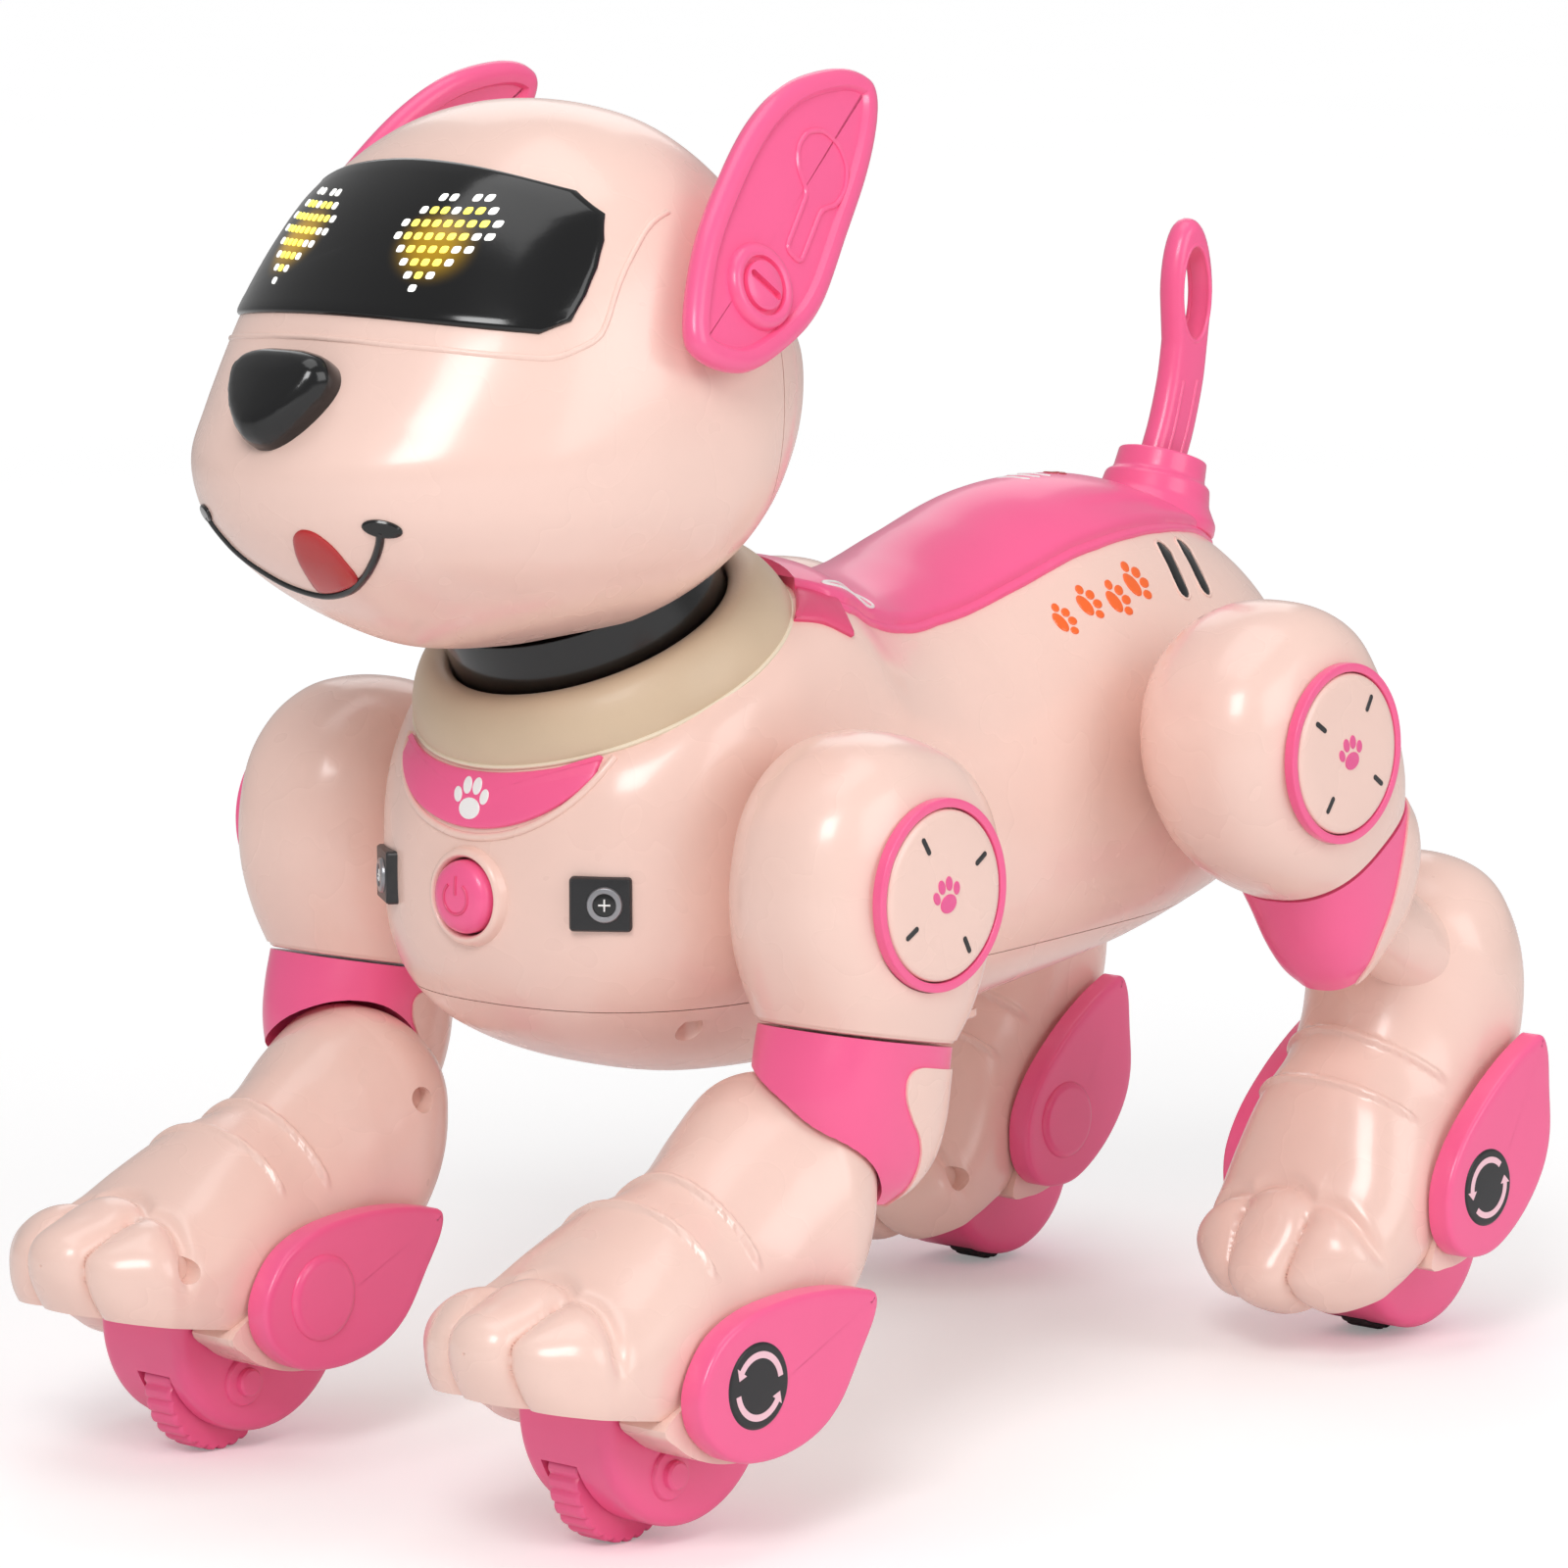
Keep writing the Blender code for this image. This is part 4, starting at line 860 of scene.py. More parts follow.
def make_chest():
    steps = [23.6 * sin(u * pi / 2) for u in np.linspace(-1, 1, 41)]
    outline = [(x, badge_low(x)) for x in steps] + [(x, badge_top(x)) for x in steps[::-1]]
    levels = [(0.0, -0.4), (0.0, 0.45), (0.25, 0.8), (0.7, 0.9)]
    plate = raised(outline, ON_CHEST, levels, 6, centre=(0.0, 124.0))
    on_plate = facing(plate, lambda a, b: at(a, -300, b), Y_AXIS)
    piece("badge_plate", plate, "pink", "body", ("chest_badge",))
    piece("badge_paw", paw(on_plate, 0.0, 123.6, 1.75), "white", "body")
    border = []
    for u in np.linspace(-1, 1, 49):
        x = 25.4 * sin(u * pi / 2)
        z = 136.4 - 19.2 * sqrt(max(0.0, 1 - (x / 25.9) ** 2))
        border.append(ON_CHEST(x, z, 0.0))
    piece("badge_border", tube(border, 0.75, sides=12), "shell", "body")
    front = Matrix.Translation(at(*BUTTON_AT)) @ Matrix.Rotation(pi / 2, 4, "X")
    cap = [(0.0, 3.25), (2.5, 3.2), (4.4, 3.0), (5.6, 2.6), (6.3, 1.9), (6.65, 1.0), (6.7, 0.0),
           (6.7, -5.0), (0.0, -5.0)]
    button = turned(cap, 96, front)
    on_button = facing(button, lambda a, b: at(a, -300, BUTTON_AT[2] + b), Y_AXIS)
    piece("button_cap", button, "pink", "button", ("power_button",))
    turns = np.linspace(radians(128), radians(412), 40)
    arc = [on_button(2.9 * cos(t), 2.9 * sin(t), 0.02) for t in turns]
    bar = [on_button(0.0, z, 0.02) for z in np.linspace(0.6, 4.0, 8)]
    piece("button_symbol", merge([tube(arc, 0.3), tube(bar, 0.3)]), "deep_pink", "button")
    bezel = rounded([(7.1, 0.5), (7.7, 1.5), (8.7, 0.9), (9.6, -2.0), (9.6, -5.0), (7.1, -5.0)],
                    0.5)
    piece("button_bezel", turned(bezel, 96, front, loop=True), "shell", "body")
    for side, word in ((1, "left"), (-1, "right")):
        spot = ON_CHEST(side * 26.6, 107.0, 0.3)
        matrix = Matrix.Translation(spot) @ Matrix.Rotation(side * radians(36), 4, "Z")
        plane = flat_map(matrix)
        square = rounded([(-5.6, -4.9), (5.6, -4.9), (5.6, 4.9), (-5.6, 4.9)], 0.9)
        plate = raised(square, plane, [(0.0, -3.0), (0.0, 0.5), (0.3, 0.95), (0.7, 1.0)], 2)
        piece(f"sensor_plate_{word}", plate, "matt", "body", (f"sensor_{word}",))
        lens_at = matrix @ Matrix.Rotation(pi / 2, 4, "X") @ Matrix.Translation((0.0008, 0, 0.001))
        halo = rounded([(2.1, 0.7), (3.1, 0.6), (3.3, -0.2), (2.1, -0.2)], 0.2)
        piece(f"lens_ring_{word}", turned(halo, 48, lens_at, loop=True), "steel", "body")
        lens = [(0.0, 0.35), (1.2, 0.5), (2.1, 0.35), (2.1, -0.3), (0.0, -0.3)]
        piece(f"lens_{word}", turned(lens, 48, lens_at), "gloss", "body")
        # painted highlight: two white lines over each lens make a cross-shaped glint
        cross = [
            tube([lens_at @ (Vector(p) * MM) for p in line], 0.16, sides=8)
            for line in (((-1.1, 0, 0.5), (0, 0, 0.52), (1.1, 0, 0.5)),
                         ((0, -1.1, 0.5), (0, 0, 0.52), (0, 1.1, 0.5)))
        ]
        piece(f"lens_glint_{word}", merge(cross), "white", "body")


# ---------------------------------------------------------------- head


def head_form():
    rings = []
    for z, half, front, back in spans(
        HEAD_STATIONS, (HEAD_CHIN[1], HEAD_CHIN[0]), (HEAD_CROWN[1], HEAD_CROWN[0]), 1.1
    )[1:-1]:
        span = back - front
        middle = min(max(HEAD_MID_Y, front + 0.3 * span), back - 0.06 * span)
        u, v = ring(half, middle - front, back - middle, HEAD_POWER, HEAD_POWER, 168)
        rings.append([at(a, middle + b, z) for a, b in zip(u, v)])
    return skin(rings, at(0, *HEAD_CHIN), at(0, *HEAD_CROWN))


HEAD = head_form()
ON_FACE = facing(HEAD, lambda a, b: at(a, -300, b), Y_AXIS)
VISOR_TOP = [(30.4 * k / 12, 238.4 - 4.9 * (k / 12) ** 2) for k in range(13)]
VISOR_LOW = [(36.6 * k / 12, 212.5 - 2.6 * (k / 12) ** 2) for k in range(12, -1, -1)]
VISOR_END = [(35.4, 229.6), (37.4, 225.2), (38.6, 220.7), (39.2, 216.2), (39.2, 211.9)]
VISOR_HALF = VISOR_TOP + VISOR_END + VISOR_LOW
HEART = [
    "..ww.ww..",
    ".wyywyyw.",
    "wyyyyyyyw",
    "wyyyyyyww",
    ".wyyyyww.",
    "..wyyyw..",
    "...wyw...",
    "....w....",
]
DOT_X, DOT_Z = 1.98, 2.15
DOT_HALF_X, DOT_HALF_Z = 0.66, 0.58


def make_head():
    home, axis = at(*NECK_BASE), neck_axis()
    split = at(0, HEAD_SPLIT_Y, 0)
    for name, side, node_name in (("head_face", 1, "head_front"), ("head_back", -1, "head_rear")):
        half = cut_off(clone(HEAD), split - Y_AXIS * side * 0.12 * MM, Vector((0, side, 0)))
        holes = [rod(home + axis * 16.0 * MM, axis, 27.2, 46.0, 96)]
        if side < 0:
            holes += [rod(at(x, 2.0, 199.0), (x / 44.0, 0.55, 0), 2.3, 14.0, 32)
                      for x in (43.0, -43.0)]
        piece(name, carved(half, holes), "shell", "head", (node_name,))
    right = [(-x, z) for x, z in VISOR_HALF[1:-1]][::-1]
    outline = []
    corners = VISOR_HALF + right
    for a, b in zip(corners, corners[1:] + corners[:1]):
        count = max(1, int((Vector(b) - Vector(a)).length / 1.6))
        outline += [tuple(Vector(a).lerp(Vector(b), k / count)) for k in range(count)]
    levels = [(0.0, -0.6), (0.0, 0.35), (0.25, 0.75), (0.8, 0.95)]
    glass = raised(outline, ON_FACE, levels, 9, centre=(0.0, 224.0))
    on_glass = facing(glass, lambda a, b: at(a, -300, b), Y_AXIS)
    piece("visor_glass", glass, "visor", "head", ("visor",))
    for side, word in ((1, "left"), (-1, "right")):
        dots = {"w": [], "y": []}
        for row, line in enumerate(HEART):
            for column, mark in enumerate(line):
                if mark == ".":
                    continue
                x = side * EYE_X + (column - 4) * DOT_X
                z = EYE_Z + (3.5 - row) * DOT_Z
                a, b = DOT_HALF_X, DOT_HALF_Z
                square = rounded([(x - a, z - b), (x + a, z - b), (x + a, z + b), (x - a, z + b)],
                                 0.42, steps=3)
                dots[mark].append(raised(square, on_glass, PRINT, 1))
        piece(f"eye_white_{word}", merge(dots["w"]), "dot_white", "head")
        piece(f"eye_glow_{word}", merge(dots["y"]), "dot_yellow", "head")
    frame_line = [(38.6, 230.5), (40.2, 224.0), (42.3, 212.0), (42.4, 208.6), (39.4, 205.7),
                  (25.4, 207.4), (9.7, 208.5), (0.0, 208.7)]
    half_line = rounded(frame_line, 1.5, closed=False)
    path = half_line + [(-x, z) for x, z in half_line[::-1][1:]]
    fine = []
    for a, b in zip(path, path[1:]):
        fine += [tuple(Vector(a).lerp(Vector(b), k / 6)) for k in range(6)]
    ridge = tube([ON_FACE(x, z, -0.25) for x, z in fine + [path[-1]]], 0.62, sides=12)
    piece("visor_ridge", ridge, "shell", "head")
    nose = [(0.0, 206.2), (6.0, 206.0), (10.8, 204.6), (13.2, 201.6), (12.8, 198.2), (10.2, 194.2),
            (6.6, 190.8), (3.0, 189.0), (0.0, 188.6)]
    nose += [(-x, z) for x, z in nose[1:-1][::-1]]
    outline = smooth_line([(x * 0.8, 198.2 + (z - 198.2) * 0.88) for x, z in nose], 5)
    levels = [(0.0, -0.8), (0.0, 1.4), (0.15, 3.0), (0.6, 4.6), (1.4, 5.9), (2.5, 6.8)]
    piece("nose_pad", raised(outline, ON_FACE, levels, 7, dome=0.7, centre=(0.0, 199.0)), "gloss",
          "head", ("nose",))
    smile = [(-21.3, 176.6), (-19.8, 174.0), (-17.2, 171.0), (-13.4, 168.0), (-7.6, 165.0),
             (0.0, 163.6), (7.6, 165.0), (13.4, 168.0), (17.2, 171.0), (19.8, 174.0), (21.3, 176.6)]
    line = smooth_line(smile, 6, closed=False)
    mouth = [tube([ON_FACE(p.x, p.y, -0.1) for p in line], 0.8, sides=12)]
    for side in (1, -1):
        spot = ellipse(side * 21.6, 177.2, 2.9, 1.6, 28, side * -0.1)
        mouth.append(raised(spot, ON_FACE, [(0.0, -0.4), (0.0, 0.3), (0.3, 0.6)], 3))
    piece("mouth_line", merge(mouth), "gloss", "head")
    tongue = [(0.4, 164.6), (1.8, 169.0), (3.4, 172.8), (5.0, 175.2), (7.4, 176.5), (10.0, 176.0),
              (11.8, 173.8), (12.4, 171.0), (12.2, 168.2), (10.4, 166.6), (5.0, 164.8)]
    levels = [(0.0, -0.4), (0.0, 0.2), (0.3, 0.5), (0.8, 0.6)]
    piece("tongue", raised(smooth_line(tongue, 3), ON_FACE, levels, 4), "red", "head")


def ear_matrix(side):
    lean = Matrix.Rotation(side * radians(-EAR_LEAN), 4, "Y")
    return Matrix.Translation(at(side * EAR_BOSS[0], *EAR_BOSS[1:])) @ lean


def make_ears():
    outline = smooth_line(EAR_OUTLINE, 8)
    middle = Vector((11.0, 12.0))
    rim = [(0.0, 0.0), (0.25, 1.0), (0.8, 1.7), (1.6, 2.15), (2.6, 2.3), (3.5, 2.2), (4.0, 1.7),
           (4.3, 1.2)]
    for side, word in ((1, "l"), (-1, "r")):
        seat = ear_matrix(side)

        def plane(a, b, lift):
            return seat @ (Vector((side * lift, a, b)) * MM)

        def face(sign):
            rings = [[plane(p.x, p.y, sign * h) for p in inset(outline, i)] for i, h in rim]
            edge = inset(outline, rim[-1][0])
            rings += [[plane(*(middle + (p - middle) * s), sign * 1.2) for p in edge]
                      for s in (0.66, 0.33)]
            return rings

        rings = face(-1)[::-1] + face(1)[1:]
        ear = skin(rings, plane(*middle, -1.2), plane(*middle, 1.2))
        stem = rounded([(20.4, 13.0), (12.0, 3.6), (9.0, 6.4), (17.6, 16.2), (16.4, 20.4),
                        (17.4, 24.4), (20.8, 27.2), (25.2, 27.2), (28.6, 24.4), (29.6, 20.4),
                        (28.0, 16.4), (24.6, 13.6)], 1.6)
        key = tube([plane(a, b, 1.2) for a, b in stem], 0.5, closed=True, sides=8)
        boss = [(0.0, 3.1), (3.9, 3.1), (4.4, 2.8), (4.5, 1.9), (5.2, 1.9), (5.4, 2.7), (6.0, 3.0),
                (6.8, 2.9), (7.5, 2.3), (7.9, 1.0), (7.9, 0.0), (0.0, 0.0)]
        turn = seat @ Matrix.Rotation(side * pi / 2, 4, "Y")
        disc = turned(boss, 72, turn)
        groove = capsule(-2.5, 2.1, 2.5, -2.1, 0.75)
        disc = carved(disc, [raised(groove, plane, [(0.0, 1.9), (0.0, 5.0)], 1)])
        hub = turned([(0.0, 0.0), (7.5, 0.0), (7.5, -3.2), (6.9, -3.8), (3.0, -4.4), (3.0, -9.0),
                      (0.0, -9.0)], 48, turn)
        piece(f"ear_{word}", merge([ear, disc, hub, key]), "pink", f"ear_{word}",
              ("ear_left" if side > 0 else "ear_right",))
        brow = [(27.2, 12.2), (22.0, 5.6), (16.0, -0.6), (9.6, -5.6)]
        groove_line = [plane(p.x, p.y, 1.2) for p in smooth_line(brow, 6, closed=False)]
        piece(f"ear_line_{word}", tube(groove_line, 0.42, sides=8), "pink", f"ear_{word}")


# ---------------------------------------------------------------- legs


def smoothstep(low, high, value):
    t = np.clip((value - low) / (high - low), 0.0, 1.0)
    return t * t * (3 - 2 * t)


def leg_rows(stations, step, top=None):
    """Dense (z, half width, half length, middle) rows, rounded over the top where it has one."""
    first, last = stations[0], stations[-1]
    before = tuple(2 * a - b for a, b in zip(first, stations[1]))
    if top is None:
        after = tuple(2 * a - b for a, b in zip(last, stations[-2]))
        return through(stations, before, after, step)
    after = (last[0], -last[1], -last[2], last[3])
    return through(list(stations) + [(top, 0.0, 0.0, last[3])], before, after, step)[:-1]


def leg_rings(rows, side, matrix, count=120):
    rings = []
    for z, half, length, mid in rows:
        u, v = ring(length, half, half, 2.1, 2.7, count)
        rings.append([matrix @ (Vector((side * b, mid - side * a, z)) * MM) for a, b in zip(u, v)])
    return rings


def swell(bm, amount):
    """Moves every vertex out along its normal."""
    bm.normal_update()
    moves = [(v, v.normal * amount * MM) for v in bm.verts]
    for v, move in moves:
        v.co += move
    return bm


def make_thigh(word, side, hip, kind):
    rows = leg_rows(THIGH_STATIONS, 1.0, THIGH_TOP_Z)
    low = rows[0].copy()
    rows = np.concatenate([
        [low * (1, 0.955, 0.955, 1)], [low * (1, 0.985, 0.985, 1) + (0.25, 0, 0, 0)],
        [low + (0.9, 0, 0, 0)], rows[1:],
    ])
    rings = leg_rings(rows, side, hip)
    foot_of = hip @ (Vector((0, 3.0, -26.2)) * MM)
    thigh = skin(rings, foot_of, hip @ (Vector((0, 0, THIGH_TOP_Z)) * MM))
    outer = (DISC_FACE_X - LEG_MID_X) * side
    face = hip @ Matrix.Translation((outer * MM, 0, 0)) @ Matrix.Rotation(side * pi / 2, 4, "Y")
    pocket = turned([(0.0, 4.0), (17.4, 4.0), (17.4, -1.8), (0.0, -1.8)], 96, face)
    piece(word + "_thigh", carved(thigh, [pocket]), "shell", word + "_thigh",
          (word + "_thigh_shell", word + "_thigh_plate"))
    ring_profile = rounded([(15.55, -1.6), (17.2, -1.6), (17.2, 0.5), (15.55, 0.5)], 0.3, steps=3)
    piece(word + "_ring", turned(ring_profile, 120, face, loop=True), "pink", word + "_thigh",
          (word + "_disc_ring",))
    cap = [(0.0, 1.2), (6.0, 1.14), (11.0, 0.98), (13.8, 0.8), (14.8, 0.6), (15.2, 0.2),
           (15.3, -0.3), (15.3, -1.6), (0.0, -1.6)]
    disc = turned(cap, 96, face)
    away = hip.to_3x3() @ Vector((side, 0, 0))
    onto = facing(disc, lambda a, b: hip @ (Vector((side * 60, a, b)) * MM), -away)
    piece(word + "_cap", disc, "shell", word + "_thigh", (word + "_disc_cap",))
    ticks = []
    for k in range(4):
        a = radians(kind["ticks"] + 90 * k)
        outline = capsule(9.6 * cos(a), 9.6 * sin(a), 12.2 * cos(a), 12.2 * sin(a), 0.5, 5)
        ticks.append(raised(outline, onto, PRINT, 1))
    piece(word + "_ticks", merge(ticks), "matt", word + "_thigh")
    turn = -radians(kind["turn"]) + (0.25 if side > 0 else -0.25)
    piece(word + "_paw", paw(onto, 0.0, -0.3, 1.5, turn), "pink_print", word + "_thigh")


def foot_sweep(foot, kind, knee):
    """Coarse, slightly larger copies of the foot through its whole swing."""
    forms = []
    for degrees in KNEE_SWING:
        swing = (Matrix.Translation(knee) @ Matrix.Rotation(radians(degrees), 4, "X")
                 @ Matrix.Translation(-knee))
        forms.append(swell(foot_form(swing @ foot, kind, 3.0, 56), SWING_GAP))
    return forms


def make_link(word, side, hip, foot, kind):
    rows = leg_rows(kind["link"], 1.0)
    rings = leg_rings(rows, side, hip, 110)
    z_end = rows[-1][0]
    start = hip @ (Vector((0, 3.0, rows[0][0])) * MM)
    end = hip @ (Vector((0, rows[-1][3], z_end)) * MM)
    link = skin(rings, start, end)
    knee = at(side * LEG_MID_X, *kind["knee"])

    def across(a, b, lift):
        return hip @ (Vector((lift, a, b)) * MM)

    outline = rounded(kind["panel"], 2.2)
    prism = [raised(outline, across, [(0.0, -40.0), (0.0, 40.0)], 1, centre=(20.0, -45.0))
             for _ in range(2)]
    pale = carved(swell(clone(link), 0.45), foot_sweep(foot, kind, knee))
    pale = carved(pale, [prism[0]], "INTERSECT")
    pink = carved(link, foot_sweep(foot, kind, knee) + [prism[1]])
    piece(word + "_link", pink, "pink", word + "_thigh", (word + "_knee_link",))
    piece(word + "_link_panel", pale, "shell", word + "_thigh", (word + "_knee_link",))
    if word.startswith("rear"):
        root = hip @ (Vector((0, 2.0, -36.0)) * MM)
        bar = [root.lerp(knee, t) for t in (0.0, 0.35, 0.7, 1.0)]
        piece(word + "_knee_arm", tube(bar, KNEE_ARM_R, sides=48), "shell", word + "_thigh",
              (word + "_knee_link",))


def foot_sculpt(x, y, z):
    """How far the foot's surface stands out, in millimetres: three toes and two ridges."""
    far = np.abs(x)
    lobe = np.where(far < TOE_HALF, far / TOE_HALF, np.clip(2 - far / TOE_HALF, 0.0, 1.0))
    dip = 1 - np.sqrt(np.clip(1 - lobe ** 2 * 0.985, 0.0, 1.0))
    back = -52.2 - 2.2 * lobe ** 2 - 0.012 * x * x
    top = smoothstep(-27.0, -18.0, z)
    toes = smoothstep(-0.2, -4.5, y - back)
    out = (0.5 - 3.6 * dip) * toes
    out += top * (0.9 * np.exp(-((y - back + 6.0) / 4.5) ** 2)
                  - 1.5 * np.exp(-((y - back) / 1.6) ** 2))
    high = smoothstep(-17.0, -13.0, z)
    for middle, curve in ((-22.8, 0.0085), (-33.2, 0.005)):
        ends = 1 - smoothstep(17.6, 19.2, far)
        out += 0.85 * high * ends * np.exp(-((y - middle - curve * x * x) / 0.7) ** 4)
    return out


def foot_form(foot, kind, step=0.5, count=168):
    rows = []
    for y, half, top, bottom, upper in spans(FOOT_STATIONS, FOOT_TOE, FOOT_HEEL, step)[1:-1]:
        middle, rise = (top + bottom) / 2, (top - bottom) / 2
        u, v = ring(half, rise, rise, 2.8, upper, count)
        rows.append(np.stack([u, np.full_like(u, y), middle + v], 1))
    grid = np.array(rows)
    along = np.gradient(grid, axis=0)
    around = np.roll(grid, -1, 1) - np.roll(grid, 1, 1)
    normal = np.cross(around, along)
    normal /= np.maximum(np.linalg.norm(normal, axis=2, keepdims=True), 1e-9)
    hub = grid.mean(axis=1, keepdims=True)
    flip = np.sign(((grid - hub) * normal).sum(axis=2).mean())
    lift = foot_sculpt(grid[..., 0], grid[..., 1], grid[..., 2])
    grid = grid + normal * flip * lift[..., None]
    grid[..., 1] = np.where(grid[..., 1] > 0, grid[..., 1] * kind["heel"], grid[..., 1])
    rings = [[foot @ (Vector(p) * MM) for p in row] for row in grid]
    toe = foot @ (Vector((0, *FOOT_TOE)) * MM)
    heel = foot @ (Vector((0, FOOT_HEEL[0] * kind["heel"], FOOT_HEEL[1])) * MM)
    bm = skin(rings, toe, heel)
    run = Vector((0, SOLE_REAR[0] - SOLE_FRONT[0], SOLE_REAR[1] - SOLE_FRONT[1])).normalized()
    down = foot.to_3x3() @ Vector((0, run.z, -run.y))
    return cut_off(bm, foot @ (Vector((0, *SOLE_FRONT)) * MM), down)


def make_foot(word, side, foot, kind):
    body = word + "_foot"

    def across(a, b, lift):
        return foot @ (Vector((lift, a, b)) * MM)

    pod_y, pod_z, pod_r = kind["pod"]
    pod_at = foot @ Matrix.Translation((0, pod_y * MM, pod_z * MM)) @ QUARTER_Y
    wide, deep = POD_HALF + POD_GAP, pod_r + POD_GAP
    recess = turned([(0.0, wide), (deep, wide), (deep, -wide), (0.0, -wide)], 96, pod_at)
    screws = [rod(across(y, z, -side * x), foot.to_3x3() @ X_AXIS, 2.4, 9.0, 32)
              for x, y, z in ((22.4, -57.2, -20.7), (22.2, 4.0 * kind["heel"], 2.0))]
    shell = carved(foot_form(foot, kind), [recess] + screws)
    piece(word + "_paw_shell", shell, "shell", body, (word + "_foot_shell",))
    skirt = smooth_line([(-47.5, -33.5), (-44.5, -38.4), (-38.0, -41.8), (-30.0, -43.4),
                         (-21.0, -43.0), (-13.0, -38.5), (-9.0, -31.0), (-28.0, -26.0)], 5)
    skirts = [
        raised(skirt, across, [(0.6, s * 11.4), (0.0, s * 12.2), (0.0, s * 22.6)], 2)
        for s in (1, -1)
    ]
    piece(word + "_skirt", merge(skirts), "shell", body)
    outline = smooth_line(COVER_OUTLINE, 7)
    levels = [(0.4, COVER_IN), (0.0, COVER_IN + 0.4), (0.0, 26.9), (0.15, 27.4), (0.5, 27.75),
              (1.0, 27.88), (2.4, 27.9)]
    for sign, which in ((side, "outer"), (-side, "inner")):
        cover = raised(outline, across, [(i, sign * h) for i, h in levels], 4, dome=sign * 0.08,
                       centre=(-23.5, -29.0))
        spot = across(*COVER_BADGE, sign * 27.9)
        lookout = Matrix.Translation(spot) @ foot.to_3x3().to_4x4() @ Matrix.Rotation(
            sign * pi / 2, 4, "Y")
        if which == "outer":
            piece(f"{word}_cover_{which}", cover, "pink", body, (f"{word}_cover_{which}",))
            dish = rounded([(0.0, 0.35), (7.3, 0.35), (7.8, -0.1), (7.8, -1.5), (0.0, -1.5)], 0.25,
                           closed=False)
            piece(word + "_badge", turned(dish, 72, lookout), "matt", body)
            forms = []
            for begin in ARROW_STARTS:
                turns = np.linspace(radians(begin), radians(begin + 135), 26)
                outer_arc = [(6.1 * cos(t), 6.1 * sin(t)) for t in turns]
                inner_arc = [(4.9 * cos(t), 4.9 * sin(t)) for t in turns[::-1]]
                tip = radians(begin + 152)
                head = [(6.9 * cos(turns[-1]), 6.9 * sin(turns[-1])),
                        (5.5 * cos(tip), 5.5 * sin(tip)),
                        (4.1 * cos(turns[-1]), 4.1 * sin(turns[-1]))]
                shape = outer_arc + head + inner_arc
                bm = skin([[lookout @ (Vector((x, y, lift)) * MM) for x, y in shape]
                           for lift in (0.1, 0.42)])
                rim = [e for e in bm.edges if e.is_boundary]
                bmesh.ops.holes_fill(bm, edges=rim, sides=0)
                bmesh.ops.triangulate(bm, faces=[f for f in bm.faces if len(f.verts) > 4])
                forms.append(bm)
            piece(word + "_badge_arrows", merge(forms), "pale_pink", body)
        else:
            knob = rounded([(0.0, 1.0), (6.9, 1.0), (8.0, 0.3), (8.0, -1.2), (0.0, -1.2)], 0.5,
                           closed=False)
            form = merge([cover, turned(knob, 72, lookout)])
            piece(f"{word}_cover_{which}", form, "pink", body, (f"{word}_cover_{which}",))
    wheel_y, wheel_z, wheel_r = kind["wheel"]
    axle = foot @ Matrix.Translation((-side * 2 * MM, wheel_y * MM, wheel_z * MM)) @ QUARTER_Y
    shape = rounded([(0.0, POD_HALF), (pod_r, POD_HALF), (pod_r, -POD_HALF), (0.0, -POD_HALF)], 3.0,
                    closed=False, steps=8)
    pod = turned(shape, 128, pod_at)
    room, wide = wheel_r + 0.7, WHEEL_HALF + 0.7
    cuts = [turned([(0.0, wide), (room, wide), (room, -wide), (0.0, -wide)], 96, axle),
            turned([(0.0, 6.8), (2.1, 6.8), (2.1, -6.8), (0.0, -6.8)], 32, axle)]
    pod = carved(pod, cuts)
    forms = [pod]
    centre = foot @ Matrix.Translation((0, wheel_y * MM, wheel_z * MM))
    if "front" in word:
        for sign in (1, -1):
            knob = [(0.0, 13.4), (2.2, 13.3), (2.6, 12.9), (2.7, 12.0), (3.4, 11.9), (4.3, 11.7),
                    (4.7, 11.2), (4.8, 10.0), (0.0, 10.0)]
            forms.append(turned(knob, 48, centre @ Matrix.Rotation(sign * pi / 2, 4, "Y")))
    piece(word + "_pod", merge(forms), "pink", body, (word + "_wheel_housing",))
    ribs = 30 if "front" in word else 24
    per = 8
    depth = 0.55 if "front" in word else 0.3

    def ripple(r, i):
        if r < wheel_r - 0.7:
            return r
        phase = (i % per) / per
        return r - depth * (0.5 - 0.5 * cos(2 * pi * phase)) ** 3

    tread = [(0.0, AXLE_HALF), (AXLE_R, AXLE_HALF), (AXLE_R, WHEEL_HALF + 0.2),
             (wheel_r - 1.6, WHEEL_HALF), (wheel_r - 0.5, WHEEL_HALF - 0.1),
             (wheel_r - 0.1, WHEEL_HALF - 0.5), (wheel_r, WHEEL_HALF - 1.1)]
    tread += [(r, -h) for r, h in tread[::-1]]
    look = "pink" if "front" in word else "rubber"
    piece(word + "_roller", turned(tread, ribs * per, axle, ripple=ripple), look, word + "_roller",
          (word + "_wheel",))


def make_legs():
    for end, kind in KINDS.items():
        for side, hand in ((1, "left"), (-1, "right")):
            word = f"{end}_{hand}"
            hip = Matrix.Translation(at(side * LEG_MID_X, *kind["hip"])) @ Matrix.Rotation(
                radians(kind["turn"]), 4, "X")
            foot = Matrix.Translation(at(side * FOOT_MID_X, *kind["foot"])) @ Matrix.Rotation(
                radians(kind["foot_turn"]), 4, "X")
            make_thigh(word, side, hip, kind)
            make_link(word, side, hip, foot, kind)
            make_foot(word, side, foot, kind)


# ---------------------------------------------------------------- tail


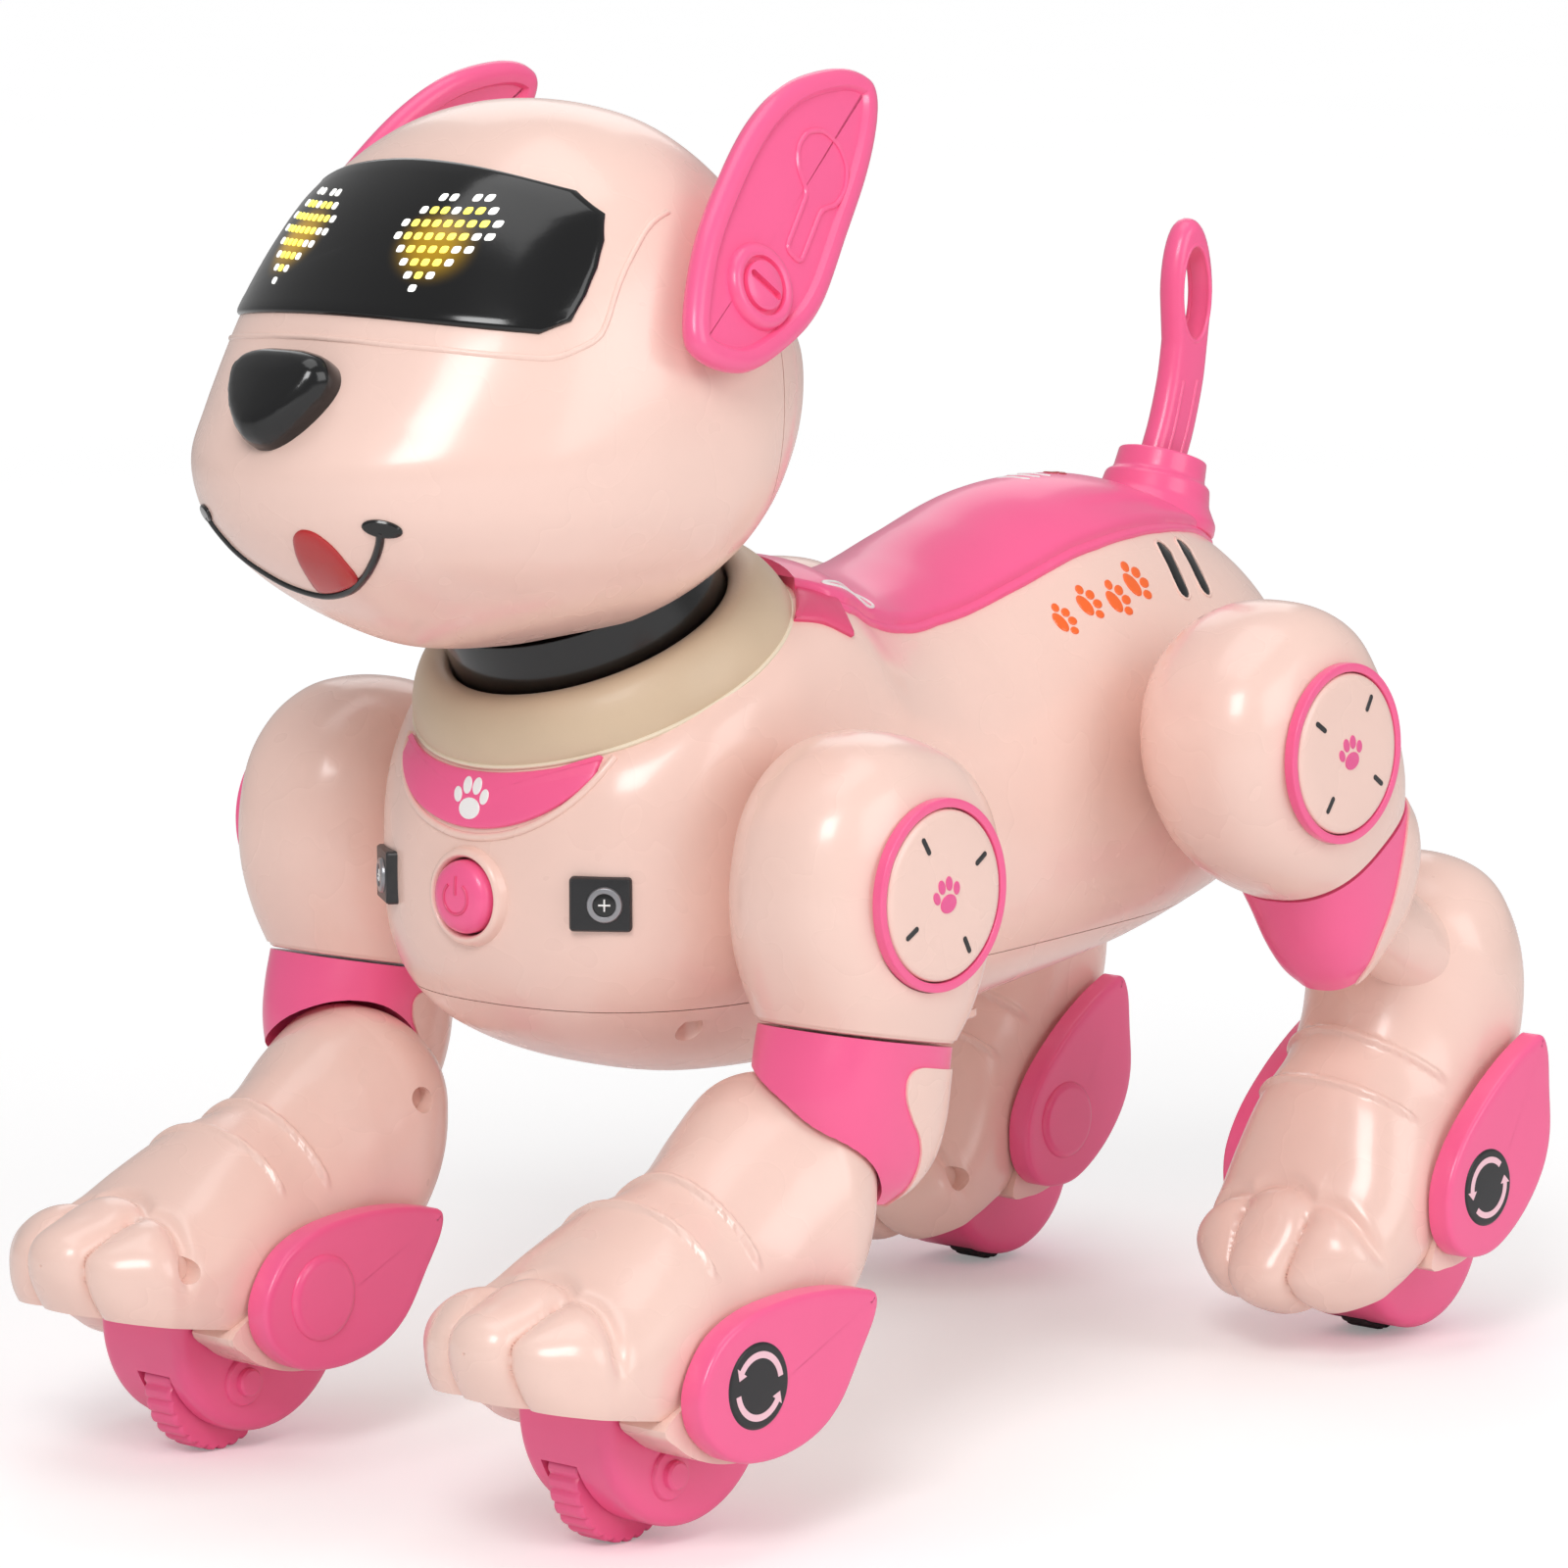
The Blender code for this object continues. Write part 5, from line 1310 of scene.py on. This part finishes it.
def make_tail():
    sides = []
    for sign in (1, -1):
        line = []
        for (ya, za), (yb, zb) in zip(TAIL_CENTRE, TAIL_CENTRE[1:] + [TAIL_LOOP_CENTRE]):
            along = Vector((yb - ya, zb - za)).normalized()
            line.append((ya + sign * TAIL_W * along.y, za - sign * TAIL_W * along.x))
        sides.append(line)
    cy, cz = TAIL_LOOP_CENTRE
    cap = [(cy + TAIL_LOOP_W * cos(radians(a)), cz + TAIL_LOOP_TOP * sin(radians(a)))
           for a in range(0, 181, 9)]
    left = [tuple(p) for p in smooth_line(sides[0], 5, closed=False)]
    right = [tuple(p) for p in smooth_line(sides[1], 5, closed=False)]
    outline = left + cap + right[::-1]

    def across(a, b, lift):
        return at(lift, TAIL_ROOT[0] + a, TAIL_ROOT[1] + b)

    rim = [(2.2, 2.78), (1.5, 2.62), (0.85, 2.2), (0.3, 1.45), (0.0, 0.5)]
    rings = [[across(p.x, p.y, -h) for p in inset(outline, i)] for i, h in rim]
    rings += [[across(p.x, p.y, h) for p in inset(outline, i)] for i, h in rim[::-1]]
    bm = skin(rings)
    rim_edges = [e for e in bm.edges if e.is_boundary]
    bmesh.ops.holes_fill(bm, edges=rim_edges, sides=0)
    hole = ellipse(cy, cz, TAIL_HOLE_W, TAIL_HOLE_H, 64)
    cutter = raised(hole, across, [(0.0, -6.0), (0.0, 6.0)], 1)
    tail = carved(bm, [cutter])
    beads = [tube([across(y, z, s * 2.45) for y, z in ellipse(cy, cz, TAIL_HOLE_W + 0.15,
             TAIL_HOLE_H + 0.15, 64)], 0.5, closed=True, sides=10) for s in (1, -1)]
    lines = []
    for s in (1, -1):
        for offset in (-2.2, 2.2):
            path = [across(y + offset, z, s * 2.6) for y, z in
                    [tuple(p) for p in smooth_line(TAIL_CENTRE[1:4], 6, closed=False)]]
            lines.append(tube(path, 0.45, sides=10))
    piece("tail_blade", merge([tail] + beads + lines), "pink", "tail", ("tail",))
    lean = -radians(TAIL_LEAN)
    seat = Matrix.Translation(at(0, *TAIL_ROOT)) @ Matrix.Rotation(lean, 4, "X")
    profile = rounded([(7.8, 9.6), (9.0, 9.6), (9.4, 5.2), (10.7, 4.4), (11.3, 0.8),
                       (13.4, -2.6), (13.4, -5.0), (7.8, -5.0)], 0.7)
    piece("tail_cup", turned(profile, 96, seat, loop=True), "pink", "body", ("tail_socket",))


# ---------------------------------------------------------------- stage


FLOOR_HALF = 40.0
WHITE = (1.0, 1.0, 1.0, 1.0)
SKY_LIGHT = 0.4
LAMPS = [  # name, place, size, power
    ("key", (0.75, -1.25, 1.2), 0.6, 11.5),
    ("fill", (1.6, 0.2, 0.8), 1.0, 7.0),
    ("top", (0.0, -0.1, 1.7), 1.1, 5.6),
    ("back", (-1.0, 1.1, 1.1), 0.9, 2.6),
]
LAMP_TARGET = Vector((0, 0, 0.12))
CAMERA_AT = (0.7945, -0.9048, 0.2848)
CAMERA_LOOK = Vector((-0.6546, 0.7433, -0.1376))
CAMERA_LENS, CAMERA_SENSOR = 147.25, 36.0


def make_stage():
    """A pale floor, a white room, soft lamps and the camera."""
    bm = bmesh.new()
    bmesh.ops.create_grid(bm, x_segments=8, y_segments=8, size=FLOOR_HALF)
    mesh = bpy.data.meshes.new("floor")
    bm.to_mesh(mesh)
    bm.free()
    floor = bpy.data.objects.new("floor", mesh)
    bpy.context.scene.collection.objects.link(floor)
    made = bpy.data.materials.new("floor_paper")
    made.use_nodes = True
    tree = made.node_tree
    shader = tree.nodes["Principled BSDF"]
    coords = node(tree, "ShaderNodeTexCoord").outputs["Object"]
    clouds = noise(tree, coords, 2.0, 3.0, 0.3, 0.7, 0.0, 1.0)
    tone = blend_colour(tree, clouds, (0.93, 0.93, 0.935, 1.0), (0.95, 0.95, 0.95, 1.0))
    tree.links.new(tone, shader.inputs["Base Color"])
    shader.inputs["Roughness"].default_value = 0.75
    far = node(tree, "ShaderNodeVectorMath", operation="LENGTH")
    tree.links.new(coords, far.inputs[0])
    paler = ramp(tree, far.outputs["Value"], 0.2, 2.5, 0.22, 0.62)
    seen = sum_or_product(tree, "MULTIPLY", paler, camera_ray(tree))
    shader.inputs["Emission Color"].default_value = WHITE
    tree.links.new(seen, shader.inputs["Emission Strength"])
    mesh.materials.append(made)
    world = bpy.data.worlds.new("studio")
    bpy.context.scene.world = world
    world.use_nodes = True
    tree = world.node_tree
    sky = tree.nodes["Background"]
    sky.inputs["Color"].default_value = WHITE
    seen = ramp(tree, camera_ray(tree), 0.0, 1.0, SKY_LIGHT, 1.0)
    tree.links.new(seen, sky.inputs["Strength"])
    bpy.context.scene.view_settings.view_transform = "Standard"
    for name, spot, size, power in LAMPS:
        lamp = bpy.data.lights.new(name, "AREA")
        lamp.energy = power
        lamp.size = size
        obj = bpy.data.objects.new(name, lamp)
        bpy.context.scene.collection.objects.link(obj)
        obj.location = spot
        aim = LAMP_TARGET - Vector(spot)
        obj.rotation_euler = aim.to_track_quat("-Z", "Y").to_euler()
    camera = bpy.data.cameras.new("camera")
    camera.lens = CAMERA_LENS
    camera.sensor_width = CAMERA_SENSOR
    camera.clip_start = 0.01
    view = bpy.data.objects.new("camera", camera)
    bpy.context.scene.collection.objects.link(view)
    view.location = CAMERA_AT
    view.rotation_euler = CAMERA_LOOK.to_track_quat("-Z", "Y").to_euler()
    bpy.context.scene.camera = view


make_stage()
make_body()
make_slots()
make_back_cover()
make_neck()
make_chest()
make_head()
make_ears()
make_legs()
make_tail()
for name, look in (("main_board", "board"), ("battery_pack", "cell")):
    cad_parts[name].data.materials.clear()
    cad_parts[name].data.materials.append(LOOKS[look])
